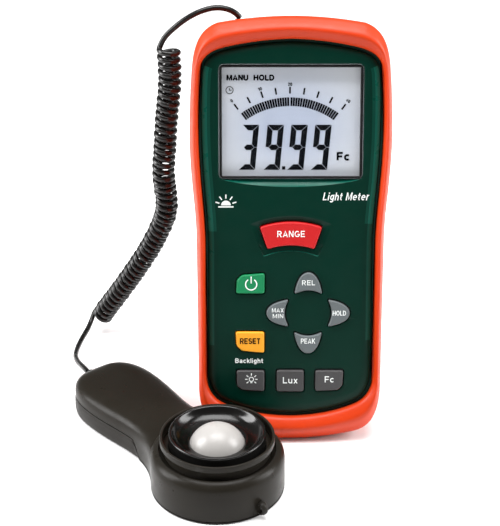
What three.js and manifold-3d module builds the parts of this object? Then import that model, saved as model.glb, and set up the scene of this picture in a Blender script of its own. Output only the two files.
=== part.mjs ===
// Hand-held light meter in a rubber boot, propped up by its tilt stand, with its domed light
// sensor lying in front of it on a coiled cord. Millimetres. +X right, +Y away from the reader,
// +Z up. The origin is on the table, in the middle of the flat that the meter stands on.

import * as THREE from 'three';
import { mergeVertices } from 'three/addons/utils/BufferGeometryUtils.js';
import Module from 'manifold-3d';

const wasm = await Module();
wasm.setup();

// ---------------------------------------------------------------- driving dimensions

const lean = THREE.MathUtils.degToRad(15);       // of the meter, back from upright
const faceOrigin = new THREE.Vector3(0, -18, 1); // lowest middle point of the green face

const gap = 0.3;            // between touching pieces
const wall = 2.2;           // of the two meter housings
const curveSteps = 4;       // in each curved stretch of a large outline

// Levels through the meter's thickness, measured outwards from the green face.
const crestLevel = 3;       // ridge of the boot's lip
const flangeLevel = -2.2;   // housing flange under the lip
const faceInside = -2.4;    // inner side of the face
const partingLevel = -14;   // where the front and rear housings meet
const recessLevel = -28.5;  // floor of the recess in the back, which holds the stand
const backLevel = -33;      // back of the rear housing
const bootBack = -36;       // back of the boot

const bootWall = 3.3;       // thickness of the boot at the lip
const housingInset = 3.9;   // from the boot outline to the housings
const bootDraft = 1.7;      // how much narrower the boot is at the back
const seatGap = 2.5;        // rubber under the meter
const housingSeat = 3.4;    // height of the housings over the table

// Outlines in the plane of the face: x to the right, y up, symmetric about x = 0.
const bootOutline = {
  bottom: 0, bottomBow: [13.5, 0.05], bottomEnd: [26.5, 3.1],
  lowCorner: [[33.2, 4.7], [35.9, 10.5], [36.6, 20.5]], side: [37.1, 80],
  waist: [[37.1, 95], [39.0, 102], [39.6, 120]], shoulder: [[39.7, 130], [39.2, 142], [38.4, 151]],
  topCorner: [[37.6, 159], [35.3, 165], [28.5, 167.4]], topBow: [14.5, 169.9], top: 170,
};
const faceOutline = {
  bottom: 10.8, bottomBow: [14, 10.9], bottomEnd: [25.4, 15.7],
  lowCorner: [[30.2, 17.8], [32.5, 21.5], [32.8, 29]], side: [32.6, 80],
  waist: [[32.6, 92], [34.5, 104], [35, 120]], shoulder: [[35.3, 130], [35.2, 140], [34.7, 147.5]],
  topCorner: [[34.3, 153.5], [31.5, 155.6], [25.5, 157.2]], topBow: [13, 160.1], top: 160.4,
};
const lipGap = 1;           // dark gap between the face and the lip

const displayOpening = { halfWidth: 28.2, low: 106.8, high: 151.7, radius: 2.5 };
const displayView = { halfWidth: 26.7, low: 107.9, high: 150.3, radius: 1.2 };
const displayGlass = { halfWidth: 30, low: 104.6, high: 153.4 };

const keyTop = 1.2;         // how far the keys stand above the face
const keyFoot = -8.2;       // underside of the keys
const keyTravel = 0.8;
const padCentre = [7.2, 53.1];
const rangeCentre = [0.2, 52.3];

const batterySize = [26.5, 48.5, 17.5];
const batteryMiddle = [0, 48.8];
const batteryFront = -12.5;

const standHinge = { height: 96, level: -30.8 };
const standHalfWidth = 29.4;
const standLeg = 7;
const standThickness = 3.8;
const standReach = 91;      // hinge to tip, before the foot is trimmed flat

const screwPlaces = [[-26.3, 30], [26.3, 30], [-27.6, 157], [27.6, 157]];
const cordExit = { x: -20, level: -27 };

const headPlace = new THREE.Vector3(-28.5, -47.2, 0);
const handleTurn = THREE.MathUtils.degToRad(39); // of the handle, anticlockwise from +Y
const headRadius = 26;
const handleEnd = 84.5;
const sensorSeam = 7.85;    // height where the two sensor shells meet

const wireRadius = 1.1;
const coilRadius = 5.3;

// The cord's route, chosen by hand, in the frame of the whole object.
const leadRoute = [
  [-20, 51.5, 156.2], [-20.5, 51.6, 158], [-22.6, 51.4, 159.7], [-26.4, 51, 160.8],
  [-30.4, 50.6, 160.8], [-35.6, 50.2, 159.5], [-40.8, 49.8, 157], [-46, 49.4, 153],
  [-50.6, 49, 148.8], [-52.8, 48.8, 145.8],
];
const coilRoute = [
  [-48.7, 48.4, 144.2], [-48.5, 48.6, 130.5], [-50.4, 49.5, 112.8], [-51.3, 50.5, 101],
  [-52.3, 52, 88.7], [-51.5, 54.6, 72.6], [-53, 57.2, 64.6], [-58, 60.2, 52.2],
  [-64.2, 63, 40.5], [-73.6, 67.5, 24.6], [-81.8, 72.5, 11], [-84, 74.5, 6.6],
];
const tailRoute = [
  [-90.7, 74, 6], [-91.6, 70, 3.2], [-92.8, 64, 1.5], [-94.2, 56, 1.2], [-94.6, 48, 1.5],
  [-93.2, 40.5, 2.8], [-90.4, 33.6, 5.2], [-88.2, 27.6, 7.2], [-85.5, 23.6, 7.85],
];

// ---------------------------------------------------------------- making and joining solids

function toSolid(geometry) {
  const bare = geometry.clone();
  bare.deleteAttribute('normal');
  bare.deleteAttribute('uv');
  const merged = mergeVertices(bare);
  return new wasm.Manifold(new wasm.Mesh({
    numProp: 3,
    vertProperties: new Float32Array(merged.attributes.position.array),
    triVerts: new Uint32Array(merged.index.array),
  }));
}

function fromSolid(solid) {
  const result = solid.getMesh();
  const geometry = new THREE.BufferGeometry();
  geometry.setAttribute('position', new THREE.BufferAttribute(result.vertProperties, 3));
  geometry.setIndex(new THREE.BufferAttribute(result.triVerts, 1));
  return geometry;
}

function join(first, ...others) {
  return others.reduce((sum, other) => sum.add(other), first);
}

function cut(first, ...others) {
  return others.reduce((rest, other) => rest.subtract(other), first);
}

// A closed solid through rings of equal point counts. Each ring is [points, level].
function loft(rings, wrapped = false) {
  const count = rings[0][0].length;
  const positions = rings.flatMap(([points, level]) => points.flatMap((p) => [p.x, p.y, level]));
  const triangles = [];
  const pairs = wrapped ? rings.length : rings.length - 1;
  for (let r = 0; r < pairs; r += 1) {
    const low = r * count;
    const high = ((r + 1) % rings.length) * count;
    for (let i = 0; i < count; i += 1) {
      const j = (i + 1) % count;
      triangles.push(low + i, low + j, high + j, low + i, high + j, high + i);
    }
  }
  if (!wrapped) {
    const last = (rings.length - 1) * count;
    for (const [a, b, c] of THREE.ShapeUtils.triangulateShape(rings[0][0], [])) {
      triangles.push(a, c, b);
    }
    for (const [a, b, c] of THREE.ShapeUtils.triangulateShape(rings.at(-1)[0], [])) {
      triangles.push(last + a, last + b, last + c);
    }
  }
  const geometry = new THREE.BufferGeometry();
  geometry.setAttribute('position', new THREE.Float32BufferAttribute(positions, 3));
  geometry.setIndex(triangles);
  return toSolid(geometry);
}

function plate(points, low, high) {
  return loft([[points, low], [points, high]]);
}

function lathe(profile, segments) {
  const points = profile.map(([x, y]) => new THREE.Vector2(x, y));
  return new THREE.LatheGeometry(points, segments);
}

// A rod from one point to another, as a closed cylinder.
function rod(radius, from, to, segments = 12) {
  const start = new THREE.Vector3(...from);
  const axis = new THREE.Vector3(...to).sub(start);
  const geometry = new THREE.CylinderGeometry(radius, radius, axis.length(), segments);
  geometry.translate(0, axis.length() / 2, 0);
  const up = new THREE.Vector3(0, 1, 0);
  geometry.applyQuaternion(new THREE.Quaternion().setFromUnitVectors(up, axis.normalize()));
  geometry.translate(start.x, start.y, start.z);
  return toSolid(geometry);
}

function block(low, high) {
  const size = high.map((value, i) => value - low[i]);
  const geometry = new THREE.BoxGeometry(...size);
  geometry.translate(...low.map((value, i) => value + size[i] / 2));
  return toSolid(geometry);
}

// ---------------------------------------------------------------- outlines

function halfOutline(o) {
  const path = new THREE.Path();
  path.moveTo(0, o.bottom);
  path.quadraticCurveTo(...o.bottomBow, ...o.bottomEnd);
  path.bezierCurveTo(...o.lowCorner.flat());
  path.lineTo(...o.side);
  path.bezierCurveTo(...o.waist.flat());
  path.bezierCurveTo(...o.shoulder.flat());
  path.bezierCurveTo(...o.topCorner.flat());
  path.quadraticCurveTo(...o.topBow, 0, o.top);
  return path.getPoints(curveSteps);
}

function mirrored(half) {
  const left = half.slice(1, -1).reverse().map((p) => new THREE.Vector2(-p.x, p.y));
  return [...half, ...left];
}

// Moves each point of an anticlockwise outline inwards, or outwards if the distance is negative.
function inset(points, distance) {
  const sharpest = 1.3;
  return points.map((point, i) => {
    const before = points[(i + points.length - 1) % points.length];
    const after = points[(i + 1) % points.length];
    const a = point.clone().sub(before).normalize();
    const b = after.clone().sub(point).normalize();
    const inward = new THREE.Vector2(-a.y - b.y, a.x + b.x).normalize();
    const stretch = Math.min(1 / Math.max(inward.dot(new THREE.Vector2(-b.y, b.x)), 0.01), sharpest);
    return point.clone().addScaledVector(inward, distance * stretch);
  });
}

function between(first, second, share) {
  return first.map((p, i) => p.clone().lerp(second[i], share));
}

// A polygon with rounded corners: each corner is [x, y, radius].
function roundedPolygon(corners, steps = 3) {
  const path = new THREE.Path();
  corners.forEach(([x, y, radius], i) => {
    const corner = new THREE.Vector2(x, y);
    const before = new THREE.Vector2(...corners[(i + corners.length - 1) % corners.length]);
    const after = new THREE.Vector2(...corners[(i + 1) % corners.length]);
    const start = corner.clone().addScaledVector(before.sub(corner).normalize(), radius);
    const end = corner.clone().addScaledVector(after.sub(corner).normalize(), radius);
    if (i === 0) path.moveTo(start.x, start.y);
    else path.lineTo(start.x, start.y);
    path.quadraticCurveTo(x, y, end.x, end.y);
  });
  return path.getPoints(steps);
}

function roundedRectangle(halfWidth, low, high, radius) {
  return roundedPolygon([
    [-halfWidth, low, radius], [halfWidth, low, radius],
    [halfWidth, high, radius], [-halfWidth, high, radius],
  ]);
}

const boot = mirrored(halfOutline(bootOutline));
const face = mirrored(halfOutline(faceOutline));

// The table, as a height up the face, at one level through the meter.
function seatHeight(level) {
  return (-level * Math.sin(lean) - faceOrigin.z) / Math.cos(lean);
}

// An outline of the boot shape at one level, narrowed for the draft and kept above the seat.
function bootRing(distance, level, clearance) {
  const share = THREE.MathUtils.clamp((flangeLevel - level) / (flangeLevel - backLevel), 0, 1);
  const lowest = seatHeight(level) + clearance;
  const points = inset(boot, distance + bootDraft * share);
  return [points.map((p) => new THREE.Vector2(p.x, Math.max(p.y, lowest))), level];
}

// ---------------------------------------------------------------- keys

function shieldKey(quarterTurns) {
  const path = new THREE.Path();
  path.moveTo(5.5, 7.8);
  path.bezierCurveTo(4.9, 11.6, 3.4, 16.6, 0, 16.6);
  path.bezierCurveTo(-3.4, 16.6, -4.9, 11.6, -5.5, 7.8);
  path.quadraticCurveTo(0, 11, 5.4, 7.9);
  const turn = quarterTurns * Math.PI / 2;
  const points = path.getPoints(5).slice(0, -1);
  const centre = new THREE.Vector2(...padCentre);
  return points.map((p) => p.rotateAround(new THREE.Vector2(), turn).add(centre));
}

function rangeKey() {
  const [x, y] = rangeCentre;
  const [outer, inner, halfAngle] = [37.7, 28.4, 0.331];
  const path = new THREE.Path();
  path.absarc(x, y, outer, Math.PI / 2 - halfAngle, Math.PI / 2 + halfAngle, false);
  path.absarc(x, y, inner, Math.PI / 2 + halfAngle, Math.PI / 2 - halfAngle, true);
  return path.getPoints(5);
}

const keys = {
  power_key: {
    outline: roundedPolygon([
      [-21.4, 61.2, 0.8], [-10.2, 61.2, 0.8], [-10.2, 69.3, 0.8], [-20.9, 68.4, 2.2]]),
    colour: 0x14a869,
  },
  reset_key: {
    outline: roundedPolygon([
      [-21.2, 37.8, 2.2], [-10.3, 36.8, 0.8], [-10.3, 45.4, 0.8], [-21.7, 45.4, 0.8]]),
    colour: 0xf8b23c,
  },
  range_key: { outline: rangeKey(), colour: 0xe22c2c },
  rel_key: { outline: shieldKey(0), colour: 0x787d80 },
  max_min_key: { outline: shieldKey(1), colour: 0x787d80 },
  peak_key: { outline: shieldKey(2), colour: 0x787d80 },
  hold_key: { outline: shieldKey(3), colour: 0x787d80 },
  backlight_key: {
    outline: roundedPolygon([
      [-21, 21.4, 2.2], [-10.2, 20.8, 0.8], [-10.2, 29.4, 0.8], [-21.3, 29.4, 0.8]]),
    colour: 0x54504d,
  },
  lux_key: {
    outline: roundedPolygon([
      [-5.2, 20.7, 0.8], [5.6, 20.7, 0.8], [5.6, 29.5, 0.8], [-5.2, 29.5, 0.8]]),
    colour: 0x54504d,
  },
  foot_candle_key: {
    outline: roundedPolygon([
      [10.3, 20.9, 0.8], [21.1, 21.5, 2.2], [21.5, 29.4, 0.8], [10.3, 29.4, 0.8]]),
    colour: 0x54504d,
  },
};

// A key with a retaining flange under the face and an eased top edge.
function keyBody(outline) {
  const flangeTop = faceInside - gap;
  const flange = inset(outline, -0.8);
  return loft([
    [outline, keyFoot], [outline, flangeTop - keyTravel - 1], [flange, flangeTop - keyTravel - 0.9],
    [flange, flangeTop - 0.1], [outline, flangeTop], [outline, keyTop - 0.5],
    [inset(outline, 0.5), keyTop],
  ]);
}

// ---------------------------------------------------------------- meter pieces

function holster() {
  const lipEdge = inset(face, -lipGap);
  const lipFoot = flangeLevel + gap;
  const window = 9;
  const sleeve = loft([
    [boot, -3], [between(boot, lipEdge, 0.12), -0.6], [between(boot, lipEdge, 0.5), crestLevel],
    [between(boot, lipEdge, 0.88), 1.5], [lipEdge, 0.6], [lipEdge, lipFoot],
    bootRing(bootWall, lipFoot, seatGap), bootRing(bootWall, partingLevel, seatGap),
    bootRing(bootWall, backLevel - gap, seatGap),
    bootRing(window, backLevel - gap, seatGap), bootRing(window, bootBack, seatGap),
    bootRing(2.4, bootBack, 0), bootRing(0, -33.6, 0), bootRing(0, partingLevel, 0),
  ], true);
  const standSlot = block([-30.6, -5, -50], [30.6, 104, recessLevel + gap]);
  const cordHole = rod(2.6, [cordExit.x, 160, cordExit.level], [cordExit.x, 175, cordExit.level]);
  return cut(sleeve, standSlot, cordHole);
}

function frontHousing() {
  const { halfWidth, low, high, radius } = displayOpening;
  const skin = housingInset;
  const outer = loft([
    bootRing(skin, partingLevel, housingSeat), bootRing(skin, flangeLevel, housingSeat),
    [face, flangeLevel + 0.02], [face, -0.7], [inset(face, 1), 0.2], [inset(face, 2.6), 0],
  ]);
  const hollow = loft([
    bootRing(skin + wall, partingLevel - 1, housingSeat + wall),
    bootRing(skin + wall, faceInside, housingSeat + wall),
  ]);
  const opening = plate(roundedRectangle(halfWidth, low, high, radius), -5, 5);
  const holes = Object.values(keys).map(({ outline }) => plate(inset(outline, -0.4), -5, 5));
  const scoop = new THREE.Path();
  scoop.moveTo(-28, 107.4);
  scoop.quadraticCurveTo(0, 100.4, 28, 107.4);
  const scoopCut = plate(scoop.getPoints(10), -0.9, 5);
  const bosses = screwPlaces.map(([x, y]) => rod(3, [x, y, partingLevel + gap], [x, y, -2]));
  const bores = screwPlaces.map(([x, y]) => rod(1.6, [x, y, -20], [x, y, -4]));
  return cut(join(cut(outer, hollow), ...bosses), opening, scoopCut, ...holes, ...bores);
}

function rearHousing() {
  const skin = housingInset;
  const top = partingLevel - gap;
  const floor = recessLevel + 2;
  const outer = loft([
    bootRing(skin, backLevel, housingSeat), bootRing(skin, top, housingSeat),
  ]);
  const hollow = loft([
    bootRing(skin + wall, backLevel + 2, housingSeat + wall),
    bootRing(skin + wall, top + 1, housingSeat + wall),
  ]);
  const shelf = block([-31.6, 0, backLevel], [31.6, 105, floor]).intersect(outer);
  const recess = block([-30, -5, backLevel - 1], [30, 102.5, recessLevel]);
  const [x, y] = batteryMiddle;
  const [halfWidth, halfHeight] = [batterySize[0] / 2 + 0.9, batterySize[1] / 2 + 3.3];
  const bayWall = 1.2;
  const bay = block(
    [x - halfWidth - bayWall, y - halfHeight - bayWall, floor - 0.5],
    [x + halfWidth + bayWall, y + halfHeight + bayWall, batteryFront],
  );
  const bayHollow = block(
    [x - halfWidth, y - halfHeight, backLevel - 1], [x + halfWidth, y + halfHeight, 0]);
  const bosses = screwPlaces.map(([u, v]) => {
    const foot = v < 100 ? floor - 0.5 : backLevel + 1;
    return rod(3.2, [u, v, foot], [u, v, top]);
  });
  const bores = screwPlaces.map(([u, v]) => rod(1.6, [u, v, -40], [u, v, 0]));
  const heads = screwPlaces.map(([u, v]) => {
    const mouth = v < 100 ? recessLevel : backLevel;
    return rod(2.9, [u, v, mouth - 1], [u, v, mouth + 2.2]);
  });
  const doorBoss = rod(3.2, [0, 17.6, floor - 0.5], [0, 17.6, -21]);
  const doorBore = rod(1.5, [0, 17.6, -40], [0, 17.6, -10]);
  const { height, level } = standHinge;
  const pinBore = rod(1.6, [-34, height, level], [34, height, level]);
  const cordBore = rod(2.6, [cordExit.x, 155, cordExit.level], [cordExit.x, 175, cordExit.level]);
  const body = join(cut(outer, hollow), shelf, bay, doorBoss, ...bosses);
  return cut(body, recess, bayHollow, doorBore, pinBore, cordBore, ...bores, ...heads);
}

function displayBezel() {
  const { halfWidth, low, high, radius } = displayOpening;
  const outer = roundedRectangle(halfWidth - gap, low + gap, high - gap, radius);
  const inner = roundedRectangle(
    displayView.halfWidth, displayView.low, displayView.high, displayView.radius);
  return cut(plate(outer, faceInside, -0.4), plate(inner, -5, 5));
}

function displayPlate(bottom, top, margin) {
  const { halfWidth, low, high } = displayGlass;
  return plate(roundedRectangle(halfWidth - margin, low + margin, high - margin, 1), bottom, top);
}

function mainBoard() {
  const outline = roundedRectangle(29.3, 16.5, 156, 3);
  const notches = screwPlaces.map(([x, y]) => rod(3.7, [x, y, -20], [x, y, 0]));
  const board = cut(plate(outline, -11.7, -10.1), ...notches);
  const processor = block([-7, 118, -14], [7, 132, -11.6]);
  const amplifier = block([-24, 92, -13.4], [-18, 97, -11.6]);
  const crystal = rod(1.6, [14, 110, -13.3], [20, 110, -13.3]);
  const crystalPad = block([13.8, 108.6, -13.3], [20.2, 111.4, -11.6]);
  const connector = block([-25, 140, -16.5], [-17, 145, -11.6]);
  return join(board, processor, amplifier, crystal, crystalPad, connector);
}

function keypadMat() {
  return plate(roundedRectangle(22.7, 18.6, 92.5, 2), -9.8, -9.3);
}

function batteryDoor() {
  const [x, y] = batteryMiddle;
  const [halfWidth, halfHeight] = [batterySize[0] / 2 + 0.9, batterySize[1] / 2 + 3.3];
  const lid = loft([
    [roundedRectangle(17, 14.4, 80.5, 2), recessLevel - gap],
    [roundedRectangle(17, 14.4, 80.5, 2), -31.2],
    [roundedRectangle(16.2, 15.2, 79.7, 2), -32],
  ].reverse());
  const dish = block(
    [x - halfWidth, y - halfHeight, -30.4], [x + halfWidth, y + halfHeight, recessLevel + 1]);
  const hole = rod(1.6, [0, 17.6, -40], [0, 17.6, 0]);
  const headHole = rod(2.9, [0, 17.6, -40], [0, 17.6, -30.2]);
  const grips = [66, 69, 72, 75].map((v) => block([-8, v, -32.5], [8, v + 1.2, -31.6]));
  return cut(lid, dish, hole, headHole, ...grips);
}

function crossScrew(rimRadius, shankRadius, [x, y], headFrom, headTo, tip) {
  const inwards = Math.sign(tip - headFrom);
  const head = rod(rimRadius, [x, y, headFrom], [x, y, headTo], 14);
  const shank = rod(shankRadius, [x, y, headTo - 0.2 * inwards], [x, y, tip], 8);
  const deep = headFrom + 1.1 * inwards;
  const [low, high] = [Math.min(headFrom - inwards, deep), Math.max(headFrom - inwards, deep)];
  const slots = [
    block([x - 1.4, y - 0.3, low], [x + 1.4, y + 0.3, high]),
    block([x - 0.3, y - 1.4, low], [x + 0.3, y + 1.4, high]),
  ];
  return cut(join(head, shank), ...slots);
}

function battery() {
  const [width, height, depth] = batterySize;
  const [x, y] = batteryMiddle;
  const middle = batteryFront - depth / 2;
  const body = loft([
    [roundedRectangle(width / 2, y - height / 2, y + height / 2 - 3.5, 1.5), batteryFront - depth],
    [roundedRectangle(width / 2, y - height / 2, y + height / 2 - 3.5, 1.5), batteryFront],
  ]);
  const top = y + height / 2 - 3.5;
  const terminals = [-6.35, 6.35].map((u) => (
    rod(u < 0 ? 2.9 : 4, [x + u, top - 0.5, middle], [x + u, top + 2.6, middle])));
  return join(body, ...terminals);
}

function batterySnap() {
  const [x, y] = batteryMiddle;
  const low = y + batterySize[1] / 2 - 3.5 + 2.6 + gap;
  const middle = batteryFront - batterySize[2] / 2;
  return block([x - 12.8, low, middle - 6], [x + 12.8, low + 2.6, middle + 6]);
}

function tiltStand() {
  const half = standThickness / 2;
  const outer = roundedPolygon([
    [-standHalfWidth + 2, -standReach, 6], [standHalfWidth - 2, -standReach, 6],
    [standHalfWidth, 0, 0.3], [-standHalfWidth, 0, 0.3]]);
  const innerHalf = standHalfWidth - standLeg;
  const inner = roundedPolygon([
    [-innerHalf + 2, -standReach + 9, 5], [innerHalf - 2, -standReach + 9, 5],
    [innerHalf, 5, 0.3], [-innerHalf, 5, 0.3]]);
  const frame = cut(plate(outer, -half, half), plate(inner, -10, 10));
  const knuckles = [-1, 1].map((side) => (
    rod(half, [side * innerHalf, 0, 0], [side * standHalfWidth, 0, 0], 14)));
  const bore = rod(1.15, [-40, 0, 0], [40, 0, 0], 12);
  return cut(join(frame, ...knuckles), bore);
}

function cordGrommet() {
  const geometry = lathe([
    [0, 0], [3.5, 0], [3.5, 1.6], [2.2, 1.8], [2.2, 8.4], [1.8, 8.9], [0, 8.9]], 14);
  return toSolid(geometry);
}

// ---------------------------------------------------------------- sensor pieces

function sensorOutline() {
  const path = new THREE.Path();
  const neckAngle = 0.66;
  path.absarc(0, 0, headRadius, -Math.PI / 2, neckAngle, false);
  path.bezierCurveTo(17.6, 20.6, 14.6, 26.5, 14.6, 36);
  path.bezierCurveTo(14.7, 45, 16.9, 52, 17, 64);
  path.bezierCurveTo(17.1, 77, 12.5, handleEnd - 0.4, 4, handleEnd);
  path.lineTo(0, handleEnd);
  return mirrored(path.getPoints(5));
}

const sensorShape = sensorOutline();
const sensorScrewPlaces = [[0, 32], [0, 70]];
const reliefSocket = join(
  rod(2.9, [0, handleEnd - 6, sensorSeam], [0, handleEnd + 6, sensorSeam]),
  rod(4, [0, handleEnd - 5, sensorSeam], [0, handleEnd - 2.2, sensorSeam]),
);

function sensorBottomShell() {
  const outer = loft([
    [inset(sensorShape, 2), 0], [inset(sensorShape, 0.5), 1.2], [sensorShape, 3.4],
    [sensorShape, sensorSeam - gap / 2],
  ]);
  const hollow = plate(inset(sensorShape, 2.2), 2.2, 20);
  const sockets = sensorScrewPlaces.map(([x, y]) => rod(3.6, [x, y, 1], [x, y, 4.6]));
  const holes = sensorScrewPlaces.flatMap(([x, y]) => [
    rod(1.6, [x, y, -5], [x, y, 20]), rod(2.8, [x, y, -5], [x, y, 2.2])]);
  const eyelet = cut(
    rod(3.2, [-1.5, -headRadius - 1.4, 4.2], [1.5, -headRadius - 1.4, 4.2]),
    rod(1.4, [-5, -headRadius - 2.4, 4.2], [5, -headRadius - 2.4, 4.2]),
  );
  return cut(join(cut(outer, hollow), eyelet, ...sockets), reliefSocket, ...holes);
}

function sensorTopShell() {
  const bottom = sensorSeam + gap / 2;
  const shell = loft([
    [sensorShape, bottom], [sensorShape, 11], [inset(sensorShape, 0.9), 13.4],
    [inset(sensorShape, 2.8), 14.8], [inset(sensorShape, 6), 15.4],
  ]);
  const drum = toSolid(lathe([
    [0, bottom], [headRadius, bottom], [headRadius, 14], [headRadius - 0.8, 16.2],
    [headRadius - 2.4, 17.6], [22.8, 18], [0, 18]], 36).rotateX(Math.PI / 2));
  const hollow = join(
    plate(inset(sensorShape, 2.2), 5, 12.4),
    rod(headRadius - 2.6, [0, 0, 5], [0, 0, 14], 32),
  );
  const seat = rod(22.6, [0, 0, 16.2], [0, 0, 30], 32);
  const lightHole = rod(11, [0, 0, 5], [0, 0, 30], 20);
  const bosses = sensorScrewPlaces.map(([x, y]) => rod(3, [x, y, bottom], [x, y, 13]));
  const bores = sensorScrewPlaces.map(([x, y]) => rod(1.5, [x, y, 0], [x, y, 11.6]));
  const body = cut(join(shell, drum), hollow);
  return cut(join(body, ...bosses), seat, lightHole, reliefSocket, ...bores);
}

function sensorLathe(profile, segments = 32) {
  return toSolid(lathe(profile, segments).rotateX(Math.PI / 2));
}

function domeProfile() {
  const [baseRadius, baseHeight, topHeight, steps] = [10.6, 20.4, 26.9, 5];
  const rise = topHeight - baseHeight;
  const sphere = (baseRadius ** 2 + rise ** 2) / (2 * rise);
  const halfAngle = Math.asin(baseRadius / sphere);
  const arc = Array.from({ length: steps + 1 }, (_, i) => {
    const angle = halfAngle * (1 - i / steps);
    return [sphere * Math.sin(angle), topHeight - sphere * (1 - Math.cos(angle))];
  });
  return [[0, 19], [11.2, 19], [11.2, 19.8], ...arc.slice(0, -1), [0, topHeight]];
}

function strainRelief() {
  const along = lathe([
    [0, -4.7], [3.7, -4.7], [3.7, -2.5], [2.6, -2.5], [2.6, 0.6], [3.5, 0.9], [3.2, 2.4],
    [2.2, 5], [0, 5.2]], 14);
  along.translate(0, handleEnd, sensorSeam);
  return toSolid(along);
}

// ---------------------------------------------------------------- cord

function tube(route, radius, sides, steps) {
  const knots = route.map((p) => new THREE.Vector3(...p));
  const curve = new THREE.CatmullRomCurve3(knots, false, 'centripetal');
  const section = new THREE.Shape();
  for (let i = 0; i < sides; i += 1) {
    const angle = i * 2 * Math.PI / sides;
    const [x, y] = [radius * Math.cos(angle), radius * Math.sin(angle)];
    if (i === 0) section.moveTo(x, y);
    else section.lineTo(x, y);
  }
  return new THREE.ExtrudeGeometry(section, { steps, extrudePath: curve, bevelEnabled: false });
}

// ---------------------------------------------------------------- the assembly

function paint(colour, roughness, metalness = 0) {
  return new THREE.MeshStandardMaterial({ color: colour, roughness, metalness });
}

function place(group, name, shape, material) {
  const geometry = shape.isBufferGeometry ? shape : fromSolid(shape);
  const mesh = new THREE.Mesh(geometry, material);
  mesh.name = name;
  group.add(mesh);
  return mesh;
}

const rubber = paint(0xe85024, 0.55);
const greenPlastic = paint(0x00342a, 0.35);
const blackPlastic = paint(0x141414, 0.4);
const darkPlastic = paint(0x3c3834, 0.35);
const whitePlastic = paint(0xe8e4e2, 0.5);
const steel = paint(0xb8b8b8, 0.35, 1);
const boardGreen = paint(0x1f5a34, 0.6);
const clearGlass = paint(0xdfe6ea, 0.1);

const lightMeter = new THREE.Group();

const meter = new THREE.Group();
meter.position.copy(faceOrigin);
meter.rotation.x = Math.PI / 2 - lean;
lightMeter.add(meter);

place(meter, 'holster', holster(), rubber);
place(meter, 'front_housing', frontHousing(), greenPlastic);
place(meter, 'rear_housing', rearHousing(), greenPlastic);
place(meter, 'display_bezel', displayBezel(), blackPlastic);
const glassTop = faceInside - gap;
place(meter, 'display_window', displayPlate(glassTop - 1.2, glassTop, 0), clearGlass);
place(meter, 'lcd_panel', displayPlate(-6.9, -4.2, 0.6), paint(0xb4bcc6, 0.4));
place(meter, 'backlight_panel', displayPlate(-9.4, -7.2, 1.6), whitePlastic);
place(meter, 'main_board', mainBoard(), boardGreen);
place(meter, 'keypad_mat', keypadMat(), paint(0x6c6c6c, 0.8));
for (const [name, key] of Object.entries(keys)) {
  place(meter, name, keyBody(key.outline), paint(key.colour, 0.45));
}
place(meter, 'battery', battery(), paint(0x2c2c30, 0.4));
place(meter, 'battery_snap', batterySnap(), blackPlastic);
place(meter, 'battery_door', batteryDoor(), greenPlastic);
place(meter, 'battery_door_screw',
  crossScrew(2.6, 1.2, [0, 17.6], -31.9, -30.5, -22.5), steel);
screwPlaces.forEach(([x, y], i) => {
  const mouth = y < 100 ? recessLevel : backLevel;
  const screw = crossScrew(2.6, 1.2, [x, y], mouth + 0.4, mouth + 1.9, -6);
  place(meter, `housing_screw_${i + 1}`, screw, steel);
});

const grommet = place(meter, 'cord_grommet', cordGrommet(), blackPlastic);
grommet.position.set(cordExit.x, 158.6, cordExit.level);

[-1, 1].forEach((side, i) => {
  const { height, level } = standHinge;
  const pin = rod(0.85, [side * 24, height, level], [side * 31.6, height, level], 12);
  place(meter, `stand_pin_${i + 1}`, pin, steel);
});

// The stand hangs on its pins and opens until its foot is on the table, where it is trimmed flat.
const [sine, cosine] = [Math.sin(lean), Math.cos(lean)];
const hingeZ = faceOrigin.z + standHinge.height * cosine + standHinge.level * sine;
const hingeY = faceOrigin.y + standHinge.height * sine - standHinge.level * cosine;
const standTurn = Math.PI / 2 + Math.acos(hingeZ / (standReach - 2));
const table = block([-100, -200, -50], [100, 200, 0]);
const openStand = new THREE.Matrix4().makeRotationX(standTurn).setPosition(0, hingeY, hingeZ);
const standGeometry = fromSolid(tiltStand()).applyMatrix4(openStand);
place(lightMeter, 'tilt_stand', cut(toSolid(standGeometry), table), blackPlastic);

const sensor = new THREE.Group();
sensor.position.copy(headPlace);
sensor.rotation.z = handleTurn;
lightMeter.add(sensor);

place(sensor, 'sensor_bottom_shell', sensorBottomShell(), darkPlastic);
place(sensor, 'sensor_top_shell', sensorTopShell(), darkPlastic);
place(sensor, 'sensor_ring', sensorLathe([
  [18.9, 16.5], [22.1, 16.5], [22.1, 22.6], [21.8, 23], [21, 23], [20.8, 18.6], [18.9, 18.6],
  [18.9, 16.5]]), darkPlastic);
place(sensor, 'sensor_cone', sensorLathe([
  [11.5, 16.5], [18.6, 16.5], [18.6, 24.2], [18.1, 24.7], [17.4, 24.5], [15, 22.3], [12.3, 20.9],
  [11.5, 20.4], [11.5, 16.5]]), darkPlastic);
place(sensor, 'diffuser_dome', sensorLathe(domeProfile()), whitePlastic);
place(sensor, 'filter_disc', rod(9.5, [0, 0, 17.2], [0, 0, 18.7], 24), paint(0x3f6f5a, 0.2));
place(sensor, 'photodiode', rod(5, [0, 0, 13.5], [0, 0, 16.9], 16), paint(0x30343c, 0.3));
place(sensor, 'sensor_board', plate(roundedRectangle(15, -15, 15, 4), 11.6, 13.2), boardGreen);
sensorScrewPlaces.forEach((spot, i) => {
  const screw = crossScrew(2.5, 1.2, spot, 0.4, 1.9, 11);
  place(sensor, `sensor_screw_${i + 1}`, screw, steel);
});
place(sensor, 'sensor_strain_relief', strainRelief(), blackPlastic);

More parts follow.
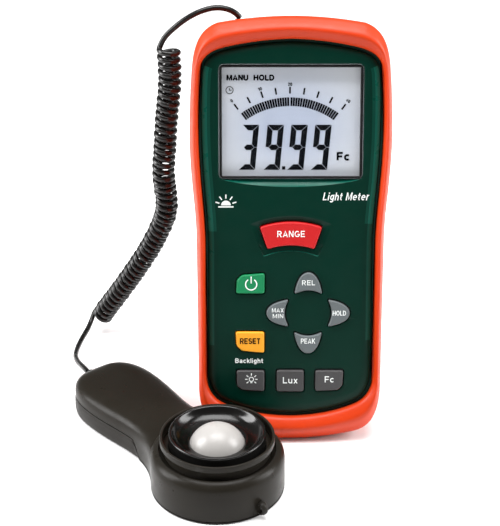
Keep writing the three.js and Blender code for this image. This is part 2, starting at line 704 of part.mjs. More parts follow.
place(lightMeter, 'cord_lead', tube(leadRoute, wireRadius, 8, 12), blackPlastic);
place(lightMeter, 'cord_coil', tube(coilRoute, coilRadius, 12, 20), blackPlastic);
place(lightMeter, 'cord_tail', tube(tailRoute, wireRadius, 8, 12), blackPlastic);

export default lightMeter;
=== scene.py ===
"""A hand-held light meter in a rubber boot, with its domed sensor on a coiled cord."""

import math

import bmesh
import bpy
from mathutils import Matrix, Vector


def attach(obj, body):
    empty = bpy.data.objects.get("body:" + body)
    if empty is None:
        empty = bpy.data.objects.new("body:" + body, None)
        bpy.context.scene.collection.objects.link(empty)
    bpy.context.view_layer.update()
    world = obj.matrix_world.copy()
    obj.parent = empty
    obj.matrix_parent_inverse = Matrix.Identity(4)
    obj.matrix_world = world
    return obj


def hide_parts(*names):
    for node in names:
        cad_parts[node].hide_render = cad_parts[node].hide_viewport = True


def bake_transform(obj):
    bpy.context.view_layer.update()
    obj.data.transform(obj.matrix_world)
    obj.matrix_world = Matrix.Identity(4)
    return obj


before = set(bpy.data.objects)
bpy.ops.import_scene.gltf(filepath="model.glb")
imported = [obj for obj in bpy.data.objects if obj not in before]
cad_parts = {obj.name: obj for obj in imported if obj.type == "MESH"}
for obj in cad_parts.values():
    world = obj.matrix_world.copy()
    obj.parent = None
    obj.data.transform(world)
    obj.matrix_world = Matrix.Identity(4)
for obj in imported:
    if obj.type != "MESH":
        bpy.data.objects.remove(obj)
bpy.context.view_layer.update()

MM = 0.001

# ------------------------------------------------------------------ camera

camera_data = bpy.data.cameras.new("camera")
camera_data.lens = 102.25
camera_data.sensor_width = 36
camera = bpy.data.objects.new("camera", camera_data)
camera.location = Vector((-15.95, -524.25, 343.06)) * MM
camera.rotation_euler = (math.radians(62.7), 0, 0)
bpy.context.scene.collection.objects.link(camera)
bpy.context.scene.camera = camera

# ------------------------------------------------------------------ dimensions shared with the CAD, in mm

LEAN = math.radians(15)
SINE, COSINE = math.sin(LEAN), math.cos(LEAN)
FACE_ORIGIN = (0, -18, 1)
HEAD_PLACE = (-28.5, -47.2)
HANDLE_TURN = math.radians(39)

FLANGE = -2.2
FACE_INSIDE = -2.4
PARTING = -14
BACK = -33
BOOT_BACK = -36
WALL = 2.2
BOOT_WALL = 3.3
HOUSING_INSET = 3.9
HOUSING_SEAT = 3.4
SEAT_GAP = 2.5
DRAFT = 1.7
KEY_TOP = 1.2

# Each half outline is a start point and a list of stretches: 1 point for a line, 2 for a
# quadratic curve, 3 for a cubic one.
BOOT = ((0, 0), [
    [(13.5, 0.05), (26.5, 3.1)], [(33.2, 4.7), (35.9, 10.5), (36.6, 20.5)], [(37.1, 80)],
    [(37.1, 95), (39.0, 102), (39.6, 120)], [(39.7, 130), (39.2, 142), (38.4, 151)],
    [(37.6, 159), (35.3, 165), (28.5, 167.4)], [(14.5, 169.9), (0, 170)]])
FACE = ((0, 10.8), [
    [(14, 10.9), (25.4, 15.7)], [(30.2, 17.8), (32.5, 21.5), (32.8, 29)], [(32.6, 80)],
    [(32.6, 92), (34.5, 104), (35, 120)], [(35.3, 130), (35.2, 140), (34.7, 147.5)],
    [(34.3, 153.5), (31.5, 155.6), (25.5, 157.2)], [(13, 160.1), (0, 160.4)]])


def on_meter(u, v, n):
    """A point by its place across, up and out of the meter's face, in mm."""
    x, y, z = FACE_ORIGIN
    return Vector((x + u, y + v * SINE - n * COSINE, z + v * COSINE + n * SINE)) * MM


def on_sensor(x, y, z):
    """A point by its place on the sensor, whose handle runs along y, in mm."""
    sine, cosine = math.sin(HANDLE_TURN), math.cos(HANDLE_TURN)
    return Vector((
        HEAD_PLACE[0] + x * cosine - y * sine, HEAD_PLACE[1] + x * sine + y * cosine, z)) * MM


def in_world(x, y, z):
    return Vector((x, y, z)) * MM


# ------------------------------------------------------------------ curves in the plane

def bezier(points, t):
    points = [Vector(p) for p in points]
    while len(points) > 1:
        points = [a.lerp(b, t) for a, b in zip(points, points[1:])]
    return points[0]


def half_outline(shape, steps):
    start, stretches = shape
    points = [Vector(start)]
    for stretch in stretches:
        count = steps if len(stretch) > 1 else steps * 2
        knots = [points[-1], *stretch]
        points += [bezier(knots, i / count) for i in range(1, count + 1)]
    return points


def mirrored(half):
    return half + [Vector((-p.x, p.y)) for p in reversed(half[1:-1])]


def inset(points, distance):
    """Moves each point of an anticlockwise outline inwards."""
    moved = []
    for i, point in enumerate(points):
        a = (point - points[i - 1]).normalized()
        b = (points[(i + 1) % len(points)] - point).normalized()
        inward = Vector((-a.y - b.y, a.x + b.x)).normalized()
        stretch = min(1 / max(inward.dot(Vector((-b.y, b.x))), 0.01), 1.3)
        moved.append(point + inward * distance * stretch)
    return moved


def blended(first, second, share):
    return [a.lerp(b, share) for a, b in zip(first, second)]


def spread(line, count, stops):
    """Points along a line at an even spacing, the line's length over count."""
    lengths = [0]
    for a, b in zip(line, line[1:]):
        lengths.append(lengths[-1] + (b - a).length)
    result, k = [], 0
    for i in range(stops):
        target = lengths[-1] * i / count
        while k < len(line) - 2 and lengths[k + 1] < target:
            k += 1
        share = (target - lengths[k]) / max(lengths[k + 1] - lengths[k], 1e-9)
        result.append(line[k].lerp(line[k + 1], min(share, 1)))
    return result


def length_of(line):
    total = 0
    for a, b in zip(line, line[1:]):
        total += (b - a).length
    return total


def evenly(points, spacing):
    """A closed outline with points at an even spacing."""
    loop = [*points, points[0]]
    count = max(int(length_of(loop) / spacing), 8)
    return spread(loop, count, count)


def softened(points, spacing=0.3, rounds=7):
    """An evenly spaced outline whose corners are rounded."""
    points = evenly([Vector(p) for p in points], spacing)
    for _ in range(rounds):
        points = [
            (points[i - 1] + p * 2 + points[(i + 1) % len(points)]) / 4
            for i, p in enumerate(points)]
    return points


def arc(centre, radius, start, end, steps):
    """Points on an arc, by angles in radians anticlockwise from +x."""
    return [
        Vector((centre[0] + radius * math.cos(a), centre[1] + radius * math.sin(a)))
        for a in (start + (end - start) * i / steps for i in range(steps + 1))]


def rectangle(half_width, low, high, radius):
    corners = [(half_width, low, -90), (half_width, high, 0), (-half_width, high, 90),
               (-half_width, low, 180)]
    points = []
    for x, y, angle in corners:
        centre = (x - math.copysign(radius, x), y + (radius if y == low else -radius))
        start = math.radians(angle)
        points += arc(centre, radius, start, start + math.pi / 2, 6)
    return points


BOOT_EDGE = mirrored(half_outline(BOOT, 12))
FACE_EDGE = mirrored(half_outline(FACE, 12))


def boot_ring(distance, level, clearance, rounding=0.5):
    """The boot's outline at one level, narrowed for the draft and kept above the table."""
    share = min(max((FLANGE - level) / (FLANGE - BACK), 0), 1)
    lowest = (-level * SINE - FACE_ORIGIN[2]) / COSINE + clearance
    ring = []
    for p in inset(BOOT_EDGE, distance + DRAFT * share):
        above = p.y - lowest
        ring.append((p.x, lowest + (above + math.hypot(above, rounding)) / 2, level))
    return ring


def at_level(points, level):
    return [(p.x, p.y, level) for p in points]


# ------------------------------------------------------------------ meshes

def add_ring(bm, points):
    return [bm.verts.new(p) for p in points]


def bridge(bm, rings, closed=True, material=0):
    """Walls between rings of equal counts."""
    for low, high in zip(rings, rings[1:]):
        count = len(low)
        for i in range(count if closed else count - 1):
            j = (i + 1) % count
            bm.faces.new((low[i], low[j], high[j], high[i])).material_index = material


def cap(bm, ring, material=0):
    bm.faces.new(ring).material_index = material


def fill(bm, loops):
    """A flat face inside the first loop, with the other loops as holes."""
    edges = []
    for loop in loops:
        for a, b in zip(loop, [*loop[1:], loop[0]]):
            edges.append(bm.edges.get((a, b)) or bm.edges.new((a, b)))
    bmesh.ops.triangle_fill(bm, use_beauty=True, use_dissolve=False, edges=edges)


def loft(bm, rings, material=0):
    """A closed solid through a stack of rings."""
    made = [add_ring(bm, ring) for ring in rings]
    bridge(bm, made, material=material)
    cap(bm, made[0], material)
    cap(bm, made[-1], material)


def prism(bm, outline, low, high, material=0):
    loft(bm, [[(p[0], p[1], low) for p in outline], [(p[0], p[1], high) for p in outline]], material)


def turned(bm, profile, segments):
    """A solid of revolution about z, by (radius, height) points."""
    rings = []
    for i in range(segments):
        angle = i * 2 * math.pi / segments
        cosine, sine = math.cos(angle), math.sin(angle)
        rings.append([(r * cosine, r * sine, z) for r, z in profile])
    made = [add_ring(bm, ring) for ring in rings]
    for i, ring in enumerate(made):
        after = made[(i + 1) % segments]
        for k in range(len(profile) - 1):
            bm.faces.new((ring[k], after[k], after[k + 1], ring[k + 1]))
    bmesh.ops.remove_doubles(bm, verts=[v for ring in made for v in ring], dist=1e-5)


def make(name, bm, place, body, materials, replaced=(), angle=32):
    """Turns a bmesh in local mm into a piece that rides on a CAD body."""
    bmesh.ops.recalc_face_normals(bm, faces=bm.faces)
    for vertex in bm.verts:
        vertex.co = place(*vertex.co)
    mesh = bpy.data.meshes.new(name)
    bm.to_mesh(mesh)
    bm.free()
    mesh.shade_smooth()
    mesh.set_sharp_from_angle(angle=math.radians(angle))
    for material in materials:
        mesh.materials.append(material)
    piece = bpy.data.objects.new(name, mesh)
    bpy.context.scene.collection.objects.link(piece)
    if body:
        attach(piece, body)
    if replaced:
        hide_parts(*replaced)
    return piece


def carve(piece, cutter_bm, place):
    """Cuts a closed shape out of a piece."""
    bmesh.ops.recalc_face_normals(cutter_bm, faces=cutter_bm.faces)
    for vertex in cutter_bm.verts:
        vertex.co = place(*vertex.co)
    mesh = bpy.data.meshes.new("cutter")
    cutter_bm.to_mesh(mesh)
    cutter_bm.free()
    cutter = bpy.data.objects.new("cutter", mesh)
    bpy.context.scene.collection.objects.link(cutter)
    modifier = piece.modifiers.new("carve", "BOOLEAN")
    modifier.object = cutter
    modifier.solver = "EXACT"
    evaluated = piece.evaluated_get(bpy.context.evaluated_depsgraph_get())
    result = bpy.data.meshes.new_from_object(evaluated)
    piece.modifiers.clear()
    old = piece.data
    piece.data = result
    result.name = old.name
    bpy.data.meshes.remove(old)
    bpy.data.objects.remove(cutter)
    bpy.data.meshes.remove(mesh)
    piece.data.set_sharp_from_angle(angle=math.radians(32))


def add_block(bm, low, high):
    corners = [(low[0], low[1]), (high[0], low[1]), (high[0], high[1]), (low[0], high[1])]
    prism(bm, corners, low[2], high[2])


LETTER_DEPTH = 0.05


def bow(x, y, across, up, start, end):
    """Points on an oval arc of a letter, by angles in degrees anticlockwise from +x."""
    count = max(int(abs(end - start) / 14), 4)
    angles = (math.radians(start + (end - start) * i / count) for i in range(count + 1))
    return [(x + across * math.cos(a), y + up * math.sin(a)) for a in angles]


# A plain bold alphabet. Each letter is its width and the middle lines of its strokes, with
# capitals 1 high.
STEM = [(0.085, 0), (0.085, 1)]
P_BOWL = [(0.085, 0.915), *bow(0.37, 0.69, 0.21, 0.225, 90, -90), (0.085, 0.465)]
LETTERS = {
    " ": (0.28, []),
    "A": (0.76, [[(0.07, 0), (0.38, 0.94), (0.69, 0)], [(0.18, 0.27), (0.58, 0.27)]]),
    "B": (0.68, [STEM, [(0.085, 0.915), *bow(0.37, 0.71, 0.2, 0.205, 90, -90), (0.085, 0.505)],
                 [(0.085, 0.505), *bow(0.39, 0.295, 0.21, 0.21, 90, -90), (0.085, 0.085)]]),
    "D": (0.73, [STEM, [(0.085, 0.915), *bow(0.31, 0.5, 0.335, 0.415, 90, -90), (0.085, 0.085)]]),
    "E": (0.62, [STEM, [(0.085, 0.915), (0.6, 0.915)], [(0.085, 0.5), (0.55, 0.5)],
                 [(0.085, 0.085), (0.61, 0.085)]]),
    "F": (0.58, [STEM, [(0.085, 0.915), (0.58, 0.915)], [(0.085, 0.48), (0.52, 0.48)]]),
    "G": (0.79, [[*bow(0.41, 0.5, 0.325, 0.415, 50, 340), (0.705, 0.44), (0.44, 0.44)]]),
    "H": (0.71, [STEM, [(0.625, 0), (0.625, 1)], [(0.085, 0.5), (0.625, 0.5)]]),
    "I": (0.17, [STEM]),
    "K": (0.68, [STEM, [(0.6, 1), (0.12, 0.42)], [(0.28, 0.6), (0.64, 0)]]),
    "L": (0.56, [STEM, [(0.085, 0.085), (0.56, 0.085)]]),
    "M": (0.84, [STEM, [(0.755, 0), (0.755, 1)], [(0.12, 0.96), (0.42, 0.1), (0.72, 0.96)]]),
    "N": (0.71, [STEM, [(0.625, 0), (0.625, 1)], [(0.12, 0.95), (0.59, 0.05)]]),
    "O": (0.82, [bow(0.41, 0.5, 0.325, 0.415, 0, 360)]),
    "P": (0.64, [STEM, P_BOWL]),
    "R": (0.69, [STEM, P_BOWL, [(0.34, 0.465), (0.61, 0)]]),
    "S": (0.66, [[*bow(0.33, 0.7, 0.235, 0.215, 25, 255), *bow(0.33, 0.295, 0.25, 0.21, 75, -155)]]),
    "T": (0.64, [[(0.02, 0.915), (0.62, 0.915)], [(0.32, 0), (0.32, 0.915)]]),
    "U": (0.71, [[(0.085, 1), (0.085, 0.35), *bow(0.355, 0.355, 0.27, 0.27, 180, 360), (0.625, 1)]]),
    "X": (0.68, [[(0.08, 0), (0.6, 1)], [(0.08, 1), (0.6, 0)]]),
    "a": (0.56, [[*bow(0.28, 0.5, 0.19, 0.15, 160, 0), (0.47, 0)],
                 bow(0.27, 0.21, 0.19, 0.14, 0, 360)]),
    "c": (0.55, [bow(0.31, 0.36, 0.225, 0.28, 48, 312)]),
    "e": (0.6, [[(0.09, 0.37), (0.52, 0.37), *bow(0.3, 0.36, 0.22, 0.28, 5, 310)]]),
    "g": (0.58, [bow(0.29, 0.38, 0.2, 0.26, 0, 360),
                 [(0.49, 0.72), (0.49, -0.02), *bow(0.29, -0.02, 0.2, 0.17, 0, -160)]]),
    "h": (0.56, [STEM, [(0.085, 0.4), *bow(0.28, 0.4, 0.19, 0.24, 170, 0), (0.47, 0)]]),
    "i": (0.17, [[(0.085, 0), (0.085, 0.72)], [(0.085, 0.85), (0.085, 1)]]),
    "k": (0.54, [STEM, [(0.46, 0.72), (0.13, 0.33)], [(0.24, 0.45), (0.5, 0)]]),
    "l": (0.17, [STEM]),
    "r": (0.36, [[(0.085, 0), (0.085, 0.72)], bow(0.3, 0.38, 0.215, 0.26, 175, 75)]),
    "t": (0.36, [[(0.16, 0.93), *bow(0.31, 0.22, 0.15, 0.14, 180, 280)], [(0, 0.64), (0.35, 0.64)]]),
    "u": (0.56, [[(0.085, 0.72), *bow(0.28, 0.28, 0.195, 0.2, 180, 350)], [(0.475, 0), (0.475, 0.72)]]),
    "x": (0.54, [[(0.07, 0), (0.47, 0.72)], [(0.07, 0.72), (0.47, 0)]]),
    "0": (0.6, [bow(0.3, 0.5, 0.215, 0.415, 0, 360)]),
    "1": (0.4, [[(0.04, 0.74), (0.28, 0.94)], [(0.3, 0), (0.3, 1)]]),
    "2": (0.6, [[*bow(0.3, 0.69, 0.215, 0.225, 170, -30), (0.09, 0.085), (0.56, 0.085)]]),
    "4": (0.62, [[(0.42, 0), (0.42, 0.94), (0.07, 0.3), (0.6, 0.3)]]),
}
LETTER_GAP = 0.13


def stroke(bm, points, width, level, material=0):
    """A flat ribbon of ink along a line. It is closed if the line ends where it starts."""
    points = [Vector(p[:2]) for p in points]
    closed = (points[0] - points[-1]).length < 1e-6
    if closed:
        points.pop()
    rings, last = [], len(points) - 1
    for i, point in enumerate(points):
        before = points[i - 1] if i or closed else point
        after = points[(i + 1) % len(points)] if i < last or closed else point
        a, b = (point - before).normalized(), (after - point).normalized()
        along = (a + b).normalized()
        stretch = min(1 / max(along.dot(b if b.length else a), 0.01), 1.35)
        side = Vector((-along.y, along.x)) * width / 2 * stretch
        left, right = point + side, point - side
        high, low = level + LETTER_DEPTH, level - LETTER_DEPTH
        rings.append([(*left, high), (*right, high), (*right, low), (*left, low)])
    made = [add_ring(bm, ring) for ring in rings]
    bridge(bm, [*made, made[0]] if closed else made, material=material)
    if not closed:
        cap(bm, made[0], material)
        cap(bm, made[-1], material)


def letter(bm, words, corner, height, level, width=None, slant=0.0, weight=0.17, material=0,
           turn=0.0):
    """Words whose capitals are `height` tall, from a lower left corner and fitted to a width, or
    centred on the corner if there is no width."""
    total = sum(LETTERS[c][0] + LETTER_GAP for c in words) - LETTER_GAP
    across = height if width is None else width / total
    start = total * across / 2 if width is None else 0
    drop = height / 2 if width is None else 0
    cosine, sine = math.cos(turn), math.sin(turn)
    place, layer = 0, 0
    for character in words:
        wide, strokes = LETTERS[character]
        for line in strokes:
            moved = []
            for x, y in line:
                x = (place + x) * across - start + slant * y * height
                y = y * height - drop
                moved.append((corner[0] + x * cosine - y * sine, corner[1] + x * sine + y * cosine))
            stroke(bm, moved, weight * height, level + layer * 0.002, material)
            layer += 1
        place += wide + LETTER_GAP


# ------------------------------------------------------------------ materials

def linear(*channels):
    """Screen colour, 0 to 255, as the linear colour that shaders take."""
    return tuple(
        c / 255 / 12.92 if c <= 10 else ((c / 255 + 0.055) / 1.055) ** 2.4 for c in channels) + (1,)


def nodes_of(name):
    material = bpy.data.materials.new(name)
    material.use_nodes = True
    tree = material.node_tree
    return material, tree, tree.nodes["Principled BSDF"]


def feed(tree, shader, inputs):
    """Links each input of a shader node to a socket, or sets its value."""
    for key, value in inputs.items():
        if isinstance(value, bpy.types.NodeSocket):
            tree.links.new(value, shader.inputs[key])
        else:
            shader.inputs[key].default_value = value


def node(tree, kind, inputs={}, **settings):
    made = tree.nodes.new(kind)
    for key, value in settings.items():
        setattr(made, key, value)
    feed(tree, made, inputs)
    return made


def noise(tree, size_mm, detail=2.0, stretch=(1, 1, 1), rough=0.5):
    """Noise whose features are about that size, from 0 to 1."""
    where = node(tree, "ShaderNodeTexCoord")
    mapped = node(tree, "ShaderNodeMapping", {"Vector": where.outputs["Object"], "Scale": stretch})
    made = node(tree, "ShaderNodeTexNoise", {
        "Vector": mapped.outputs[0], "Scale": 1000 / size_mm, "Detail": detail, "Roughness": rough})
    return made.outputs["Fac"]


def between(tree, value, low, high, out_low=0.0, out_high=1.0):
    made = node(tree, "ShaderNodeMapRange", {
        "Value": value, "From Min": low, "From Max": high, "To Min": out_low, "To Max": out_high})
    return made.outputs[0]


def mixed(tree, factor, first, second):
    made = node(tree, "ShaderNodeMix", data_type="RGBA")
    feed(tree, made, {0: factor, 6: first, 7: second})
    return made.outputs[2]


def shade(colour, factor):
    return tuple(min(c * factor, 1) for c in colour[:3]) + (1,)


def moulded(name, colour, rough, grain=0.3, depth=0.015, mottle=0.06, wear=0.2, scuffs=0.25,
            specular=0.5, metallic=0.0):
    """Moulded plastic, rubber or metal: grain, uneven colour, rubbed edges and faint scuffs."""
    material, tree, shader = nodes_of(name)
    cloud = noise(tree, 14, 3)
    base = mixed(tree, cloud, shade(colour, 1 - mottle), shade(colour, 1 + mottle))
    edges = node(tree, "ShaderNodeNewGeometry").outputs["Pointiness"]
    rubbed = between(tree, edges, 0.515, 0.6, 0, wear)
    pale = tuple(c * 0.75 + 0.12 for c in colour[:3]) + (1,)
    base = mixed(tree, rubbed, base, pale)
    marks = noise(tree, 1.4, 5, (1, 1, 7), 0.7)
    scuffed = between(tree, marks, 0.62, 0.78, 0, scuffs)
    base = mixed(tree, scuffed, base, shade(pale, 0.9))
    uneven = between(tree, noise(tree, 5, 4), 0.3, 0.7, rough - 0.05, rough + 0.06)
    fine = noise(tree, grain, 2)
    bump = node(tree, "ShaderNodeBump", {
        "Height": fine, "Strength": 0.6, "Distance": depth * MM})
    feed(tree, shader, {
        "Base Color": base, "Roughness": uneven, "Normal": bump.outputs[0],
        "Specular IOR Level": specular, "Metallic": metallic})
    return material


def screen_printed(name, colour, rough=0.5, specular=0.4):
    """Ink or a display segment, a little uneven."""
    material, tree, shader = nodes_of(name)
    base = mixed(tree, noise(tree, 0.8, 3), shade(colour, 0.9), shade(colour, 1.05))
    uneven = between(tree, noise(tree, 0.5, 2), 0.3, 0.7, rough - 0.06, rough + 0.06)
    feed(tree, shader, {"Base Color": base, "Roughness": uneven, "Specular IOR Level": specular})
    return material


ORANGE = moulded("boot_rubber", linear(190, 50, 4), 0.4, 0.22, 0.02, 0.04, 0.12, 0.06, 0.3)
GREEN = moulded("green_plastic", linear(0, 40, 30), 0.33, 0.3, 0.012, 0.08, 0.12, 0.05, 0.12)
BLACK = moulded("black_plastic", linear(8, 8, 9), 0.4, 0.3, 0.015, 0.1, 0.1, 0.1, 0.18)
CORD = moulded("cord_jacket", linear(13, 12, 10), 0.27, 0.25, 0.008, 0.1, 0.0, 0.05, 0.4)
SENSOR = moulded("sensor_plastic", linear(28, 25, 20), 0.32, 0.2, 0.012, 0.08, 0.1, 0.06, 0.11)
SENSOR_GRIP = moulded("sensor_grip", linear(27, 24, 20), 0.42, 0.45, 0.05, 0.08, 0.12, 0.1, 0.14)
SENSOR_GLOSS = moulded("sensor_gloss", linear(7, 6, 5), 0.18, 0.3, 0.004, 0.06, 0.1, 0.03, 0.35)
GREEN_KEY = moulded("green_key", linear(6, 122, 74), 0.5, 0.2, 0.012, 0.04, 0.25, 0.12, 0.3)
YELLOW_KEY = moulded("yellow_key", linear(236, 158, 36), 0.5, 0.2, 0.012, 0.04, 0.3, 0.12, 0.3)
RED_KEY = moulded("red_key", linear(186, 16, 20), 0.46, 0.2, 0.012, 0.04, 0.3, 0.1, 0.35)
GREY_KEY = moulded("grey_key", linear(94, 100, 102), 0.5, 0.2, 0.012, 0.04, 0.3, 0.12, 0.3)
DARK_KEY = moulded("dark_key", linear(66, 65, 66), 0.5, 0.2, 0.012, 0.05, 0.3, 0.12, 0.3)
STEEL = moulded("screw_steel", linear(172, 172, 175), 0.32, 0.15, 0.006, 0.1, 0.3, 0.2, 0.5, 1.0)
WHITE_INK = screen_printed("white_ink", linear(236, 240, 238))
BROWN_INK = screen_printed("brown_ink", linear(30, 12, 4), 0.5, 0.1)
SEGMENT = screen_printed("lcd_segment", linear(4, 5, 10), 0.5, 0.05)

# ------------------------------------------------------------------ cord

LEAD_ROUTE = [
    (-20, 51.5, 156.2), (-21.2, 51.5, 157.7), (-23.4, 51.4, 159.2), (-26.6, 51.1, 160.3),
    (-30.6, 50.7, 160.5), (-35.8, 50.2, 159.2), (-41, 49.8, 156.6), (-46, 49.4, 152.9),
    (-50.3, 49, 148.6)]
COIL_ROUTE = [
    (-48.7, 48.4, 144.2), (-48.5, 48.6, 130.5), (-50.4, 49.3, 112.8), (-51.3, 50, 101),
    (-52.3, 51.4, 88.7), (-51.5, 54.6, 72.6), (-53, 57.2, 64.6), (-58, 60.2, 52.2),
    (-64.2, 63, 40.5), (-73.6, 67.5, 24.6), (-81.8, 72.5, 11), (-84, 74.5, 6.6)]
TAIL_ROUTE = [
    (-88.9, 70.6, 5.4), (-90, 66, 4.4), (-91.8, 59, 3.6), (-93, 51.5, 3.3), (-93, 44, 3.9),
    (-91.4, 37, 5.2), (-89, 31, 6.6), (-87, 26.6, 7.5), (-85.5, 23.6, 7.85)]
WIRE_RADIUS = 1.15
COIL_MIDDLE = 3.8
TURNS = 48
STEPS_PER_TURN = 16


def through(knots, spacing):
    """Evenly spaced points on a smooth curve through the knots."""
    knots = [Vector(k) for k in knots]
    ends = [knots[0] * 2 - knots[1], *knots, knots[-1] * 2 - knots[-2]]
    fine = [knots[0]]
    for a, b, c, d in zip(ends, ends[1:], ends[2:], ends[3:]):
        t1 = (b - a).length ** 0.5
        t2 = t1 + (c - b).length ** 0.5
        t3 = t2 + (d - c).length ** 0.5
        for i in range(1, 13):
            t = t1 + (t2 - t1) * i / 12
            p = a.lerp(b, t / t1)
            q = b.lerp(c, (t - t1) / (t2 - t1))
            r = c.lerp(d, (t - t2) / (t3 - t2))
            fine.append(p.lerp(q, t / t2).lerp(q.lerp(r, (t - t1) / (t3 - t1)), (t - t1) / (t2 - t1)))
    count = round(length_of(fine) / spacing)
    return spread(fine, count, count + 1)


def frames_along(path, first):
    """At each point of a path, two directions across it that turn as little as they can."""
    result, across = [], Vector(first)
    for i, _ in enumerate(path):
        ahead = (path[min(i + 1, len(path) - 1)] - path[max(i - 1, 0)]).normalized()
        across = (across - ahead * across.dot(ahead)).normalized()
        result.append((across, ahead.cross(across)))
    return result


def cord_path():
    middle = through(COIL_ROUTE, 0.25)
    frames = frames_along(middle, (-1, 0, 0))
    last = len(middle) - 1
    helix = []
    for i in range(TURNS * STEPS_PER_TURN + 1):
        t = i / (TURNS * STEPS_PER_TURN)
        uneven = 0.0022 * math.sin(t * 53) + 0.0012 * math.sin(t * 97 + 1)
        k = min(max(t + uneven * min(t, 1 - t) * 2, 0), 1) * last
        centre = middle[int(k)].lerp(middle[min(int(k) + 1, last)], k - int(k))
        across, side = frames[int(k)]
        angle = i * 2 * math.pi / STEPS_PER_TURN
        radius = COIL_MIDDLE + 0.1 * math.sin(t * 133)
        helix.append(centre + (across * math.cos(angle) - side * math.sin(angle)) * radius)
    return through([*LEAD_ROUTE, *helix, *TAIL_ROUTE], 1.15)


def swept(bm, path, radius, sides):
    frames = frames_along(path, (0, 1, 0))
    rings = []
    for point, (across, side) in zip(path, frames):
        rings.append([
            point + (across * math.cos(a) + side * math.sin(a)) * radius
            for a in (k * 2 * math.pi / sides for k in range(sides))])
    loft(bm, rings)


path = cord_path()
bm = bmesh.new()
swept(bm, path, WIRE_RADIUS, 10)
cord = make("coiled_cord", bm, in_world, None, [CORD],
            ["cord_lead", "cord_coil", "cord_tail"], 60)
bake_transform(cord)

# ------------------------------------------------------------------ boot

LIP_EDGE = inset(FACE_EDGE, -1)
LIP = [(0, -3), (0.01, -2.2), (0.04, -1.5), (0.09, -0.85), (0.16, -0.15), (0.25, 0.75), (0.34, 1.6),
       (0.42, 2.22), (0.49, 2.58), (0.55, 2.7), (0.61, 2.66), (0.68, 2.44), (0.77, 2.02), (0.87, 1.5),
       (0.94, 1.0), (0.98, 0.4), (1.0, -0.3), (1.0, -1.9)]


def boot():
    bm = bmesh.new()
    rings = [at_level(blended(BOOT_EDGE, LIP_EDGE, share), level) for share, level in LIP]
    rings += [
        boot_ring(BOOT_WALL, -1.9, SEAT_GAP), boot_ring(BOOT_WALL, PARTING, SEAT_GAP),
        boot_ring(BOOT_WALL, BACK - 0.3, SEAT_GAP), boot_ring(9, BACK - 0.3, SEAT_GAP)]
    rings += [boot_ring(8.9 - d, BOOT_BACK + e, SEAT_GAP) for d, e in ((0, 0.5), (0.2, 0.15), (0.6, 0))]
    rings += [
        boot_ring(d, level, 0) for d, level in (
            (2.7, BOOT_BACK), (1.7, -35.8), (0.8, -35.2), (0.25, -34.3), (0, -33.2), (0, -28),
            (0, -21), (0, PARTING), (0, -9), (0, -6), (0, -4.2))]
    made = [add_ring(bm, ring) for ring in rings]
    bridge(bm, [*made, made[0]])
    piece = make("boot_skin", bm, on_meter, "meter", [ORANGE], ["holster"], 40)
    cutter = bmesh.new()
    add_block(cutter, (-30.6, -5, -50), (30.6, 104, -28.2))
    carve(piece, cutter, on_meter)
    cutter = bmesh.new()
    hole = arc((-20, -27), 2.6, 0, 2 * math.pi, 24)[:-1]
    loft(cutter, [[(p.x, v, p.y) for p in hole] for v in (160, 175)])
    carve(piece, cutter, on_meter)


boot()

# ------------------------------------------------------------------ keys

PAD_CENTRE = (7.2, 53.1)
RANGE_CENTRE = (0.2, 52.3)


def shield(quarter_turns):
    right = [(5.5, 7.8), (4.9, 11.6), (3.4, 16.6), (0, 16.6)]
    left = [(0, 16.6), (-3.4, 16.6), (-4.9, 11.6), (-5.5, 7.8)]
    base = [(-5.5, 7.8), (0, 11), (5.5, 7.8)]
    points = [bezier(curve, i / 16) for curve in (right, left, base) for i in range(16)]
    turn = Matrix.Rotation(quarter_turns * math.pi / 2, 2)
    return [turn @ p + Vector(PAD_CENTRE) for p in points]


def sector(outer, inner, outer_half, inner_half):
    up = math.pi / 2
    return (arc(RANGE_CENTRE, outer, up - outer_half, up + outer_half, 24)
            + arc(RANGE_CENTRE, inner, up + inner_half, up - inner_half, 24))


KEYS = {
    "power_key": (softened([(-21.4, 61.2), (-10.2, 61.2), (-10.2, 69.3), (-19.2, 68.6),
                            (-21.2, 66.6)]), GREEN_KEY),
    "reset_key": (softened([(-21.3, 39.6), (-19.2, 37.7), (-10.3, 36.8), (-10.3, 45.4),
                            (-21.7, 45.4)]), YELLOW_KEY),
    "range_key": (softened(sector(37.7, 28.4, 0.331, 0.331)), RED_KEY),
    "rel_key": (softened(shield(0)), GREY_KEY),
    "max_min_key": (softened(shield(1)), GREY_KEY),
    "peak_key": (softened(shield(2)), GREY_KEY),
    "hold_key": (softened(shield(3)), GREY_KEY),
    "backlight_key": (softened([(-21.1, 23), (-19, 21.3), (-10.2, 20.8), (-10.2, 29.4),
                                (-21.3, 29.4)]), DARK_KEY),
    "lux_key": (softened([(-5.2, 20.7), (5.6, 20.7), (5.6, 29.5), (-5.2, 29.5)]), DARK_KEY),
    "foot_candle_key": (softened([(10.3, 20.9), (19.3, 21.3), (21.2, 23.2), (21.5, 29.4),
                                  (10.3, 29.4)]), DARK_KEY),
}


def ink(bm, outline, level, material):
    """A thin flat shape of ink."""
    prism(bm, outline, level - LETTER_DEPTH, level + LETTER_DEPTH, material)


def ring_mark(bm, centre, outer, inner, start, end, level, material, steps=28):
    """A flat arc of ink, as part of a ring."""
    a, b = math.radians(start), math.radians(end)
    outline = arc(centre, outer, a, b, steps) + arc(centre, inner, b, a, steps)
    ink(bm, outline, level, material)


def bar_mark(bm, start, end, width, level, material):
    """A flat bar of ink between two points."""
    start, end = Vector(start), Vector(end)
    along = (end - start).normalized()
    side = Vector((-along.y, along.x)) * width / 2
    outline = [start - side, end - side, end + side, start + side]
    ink(bm, outline, level, material)


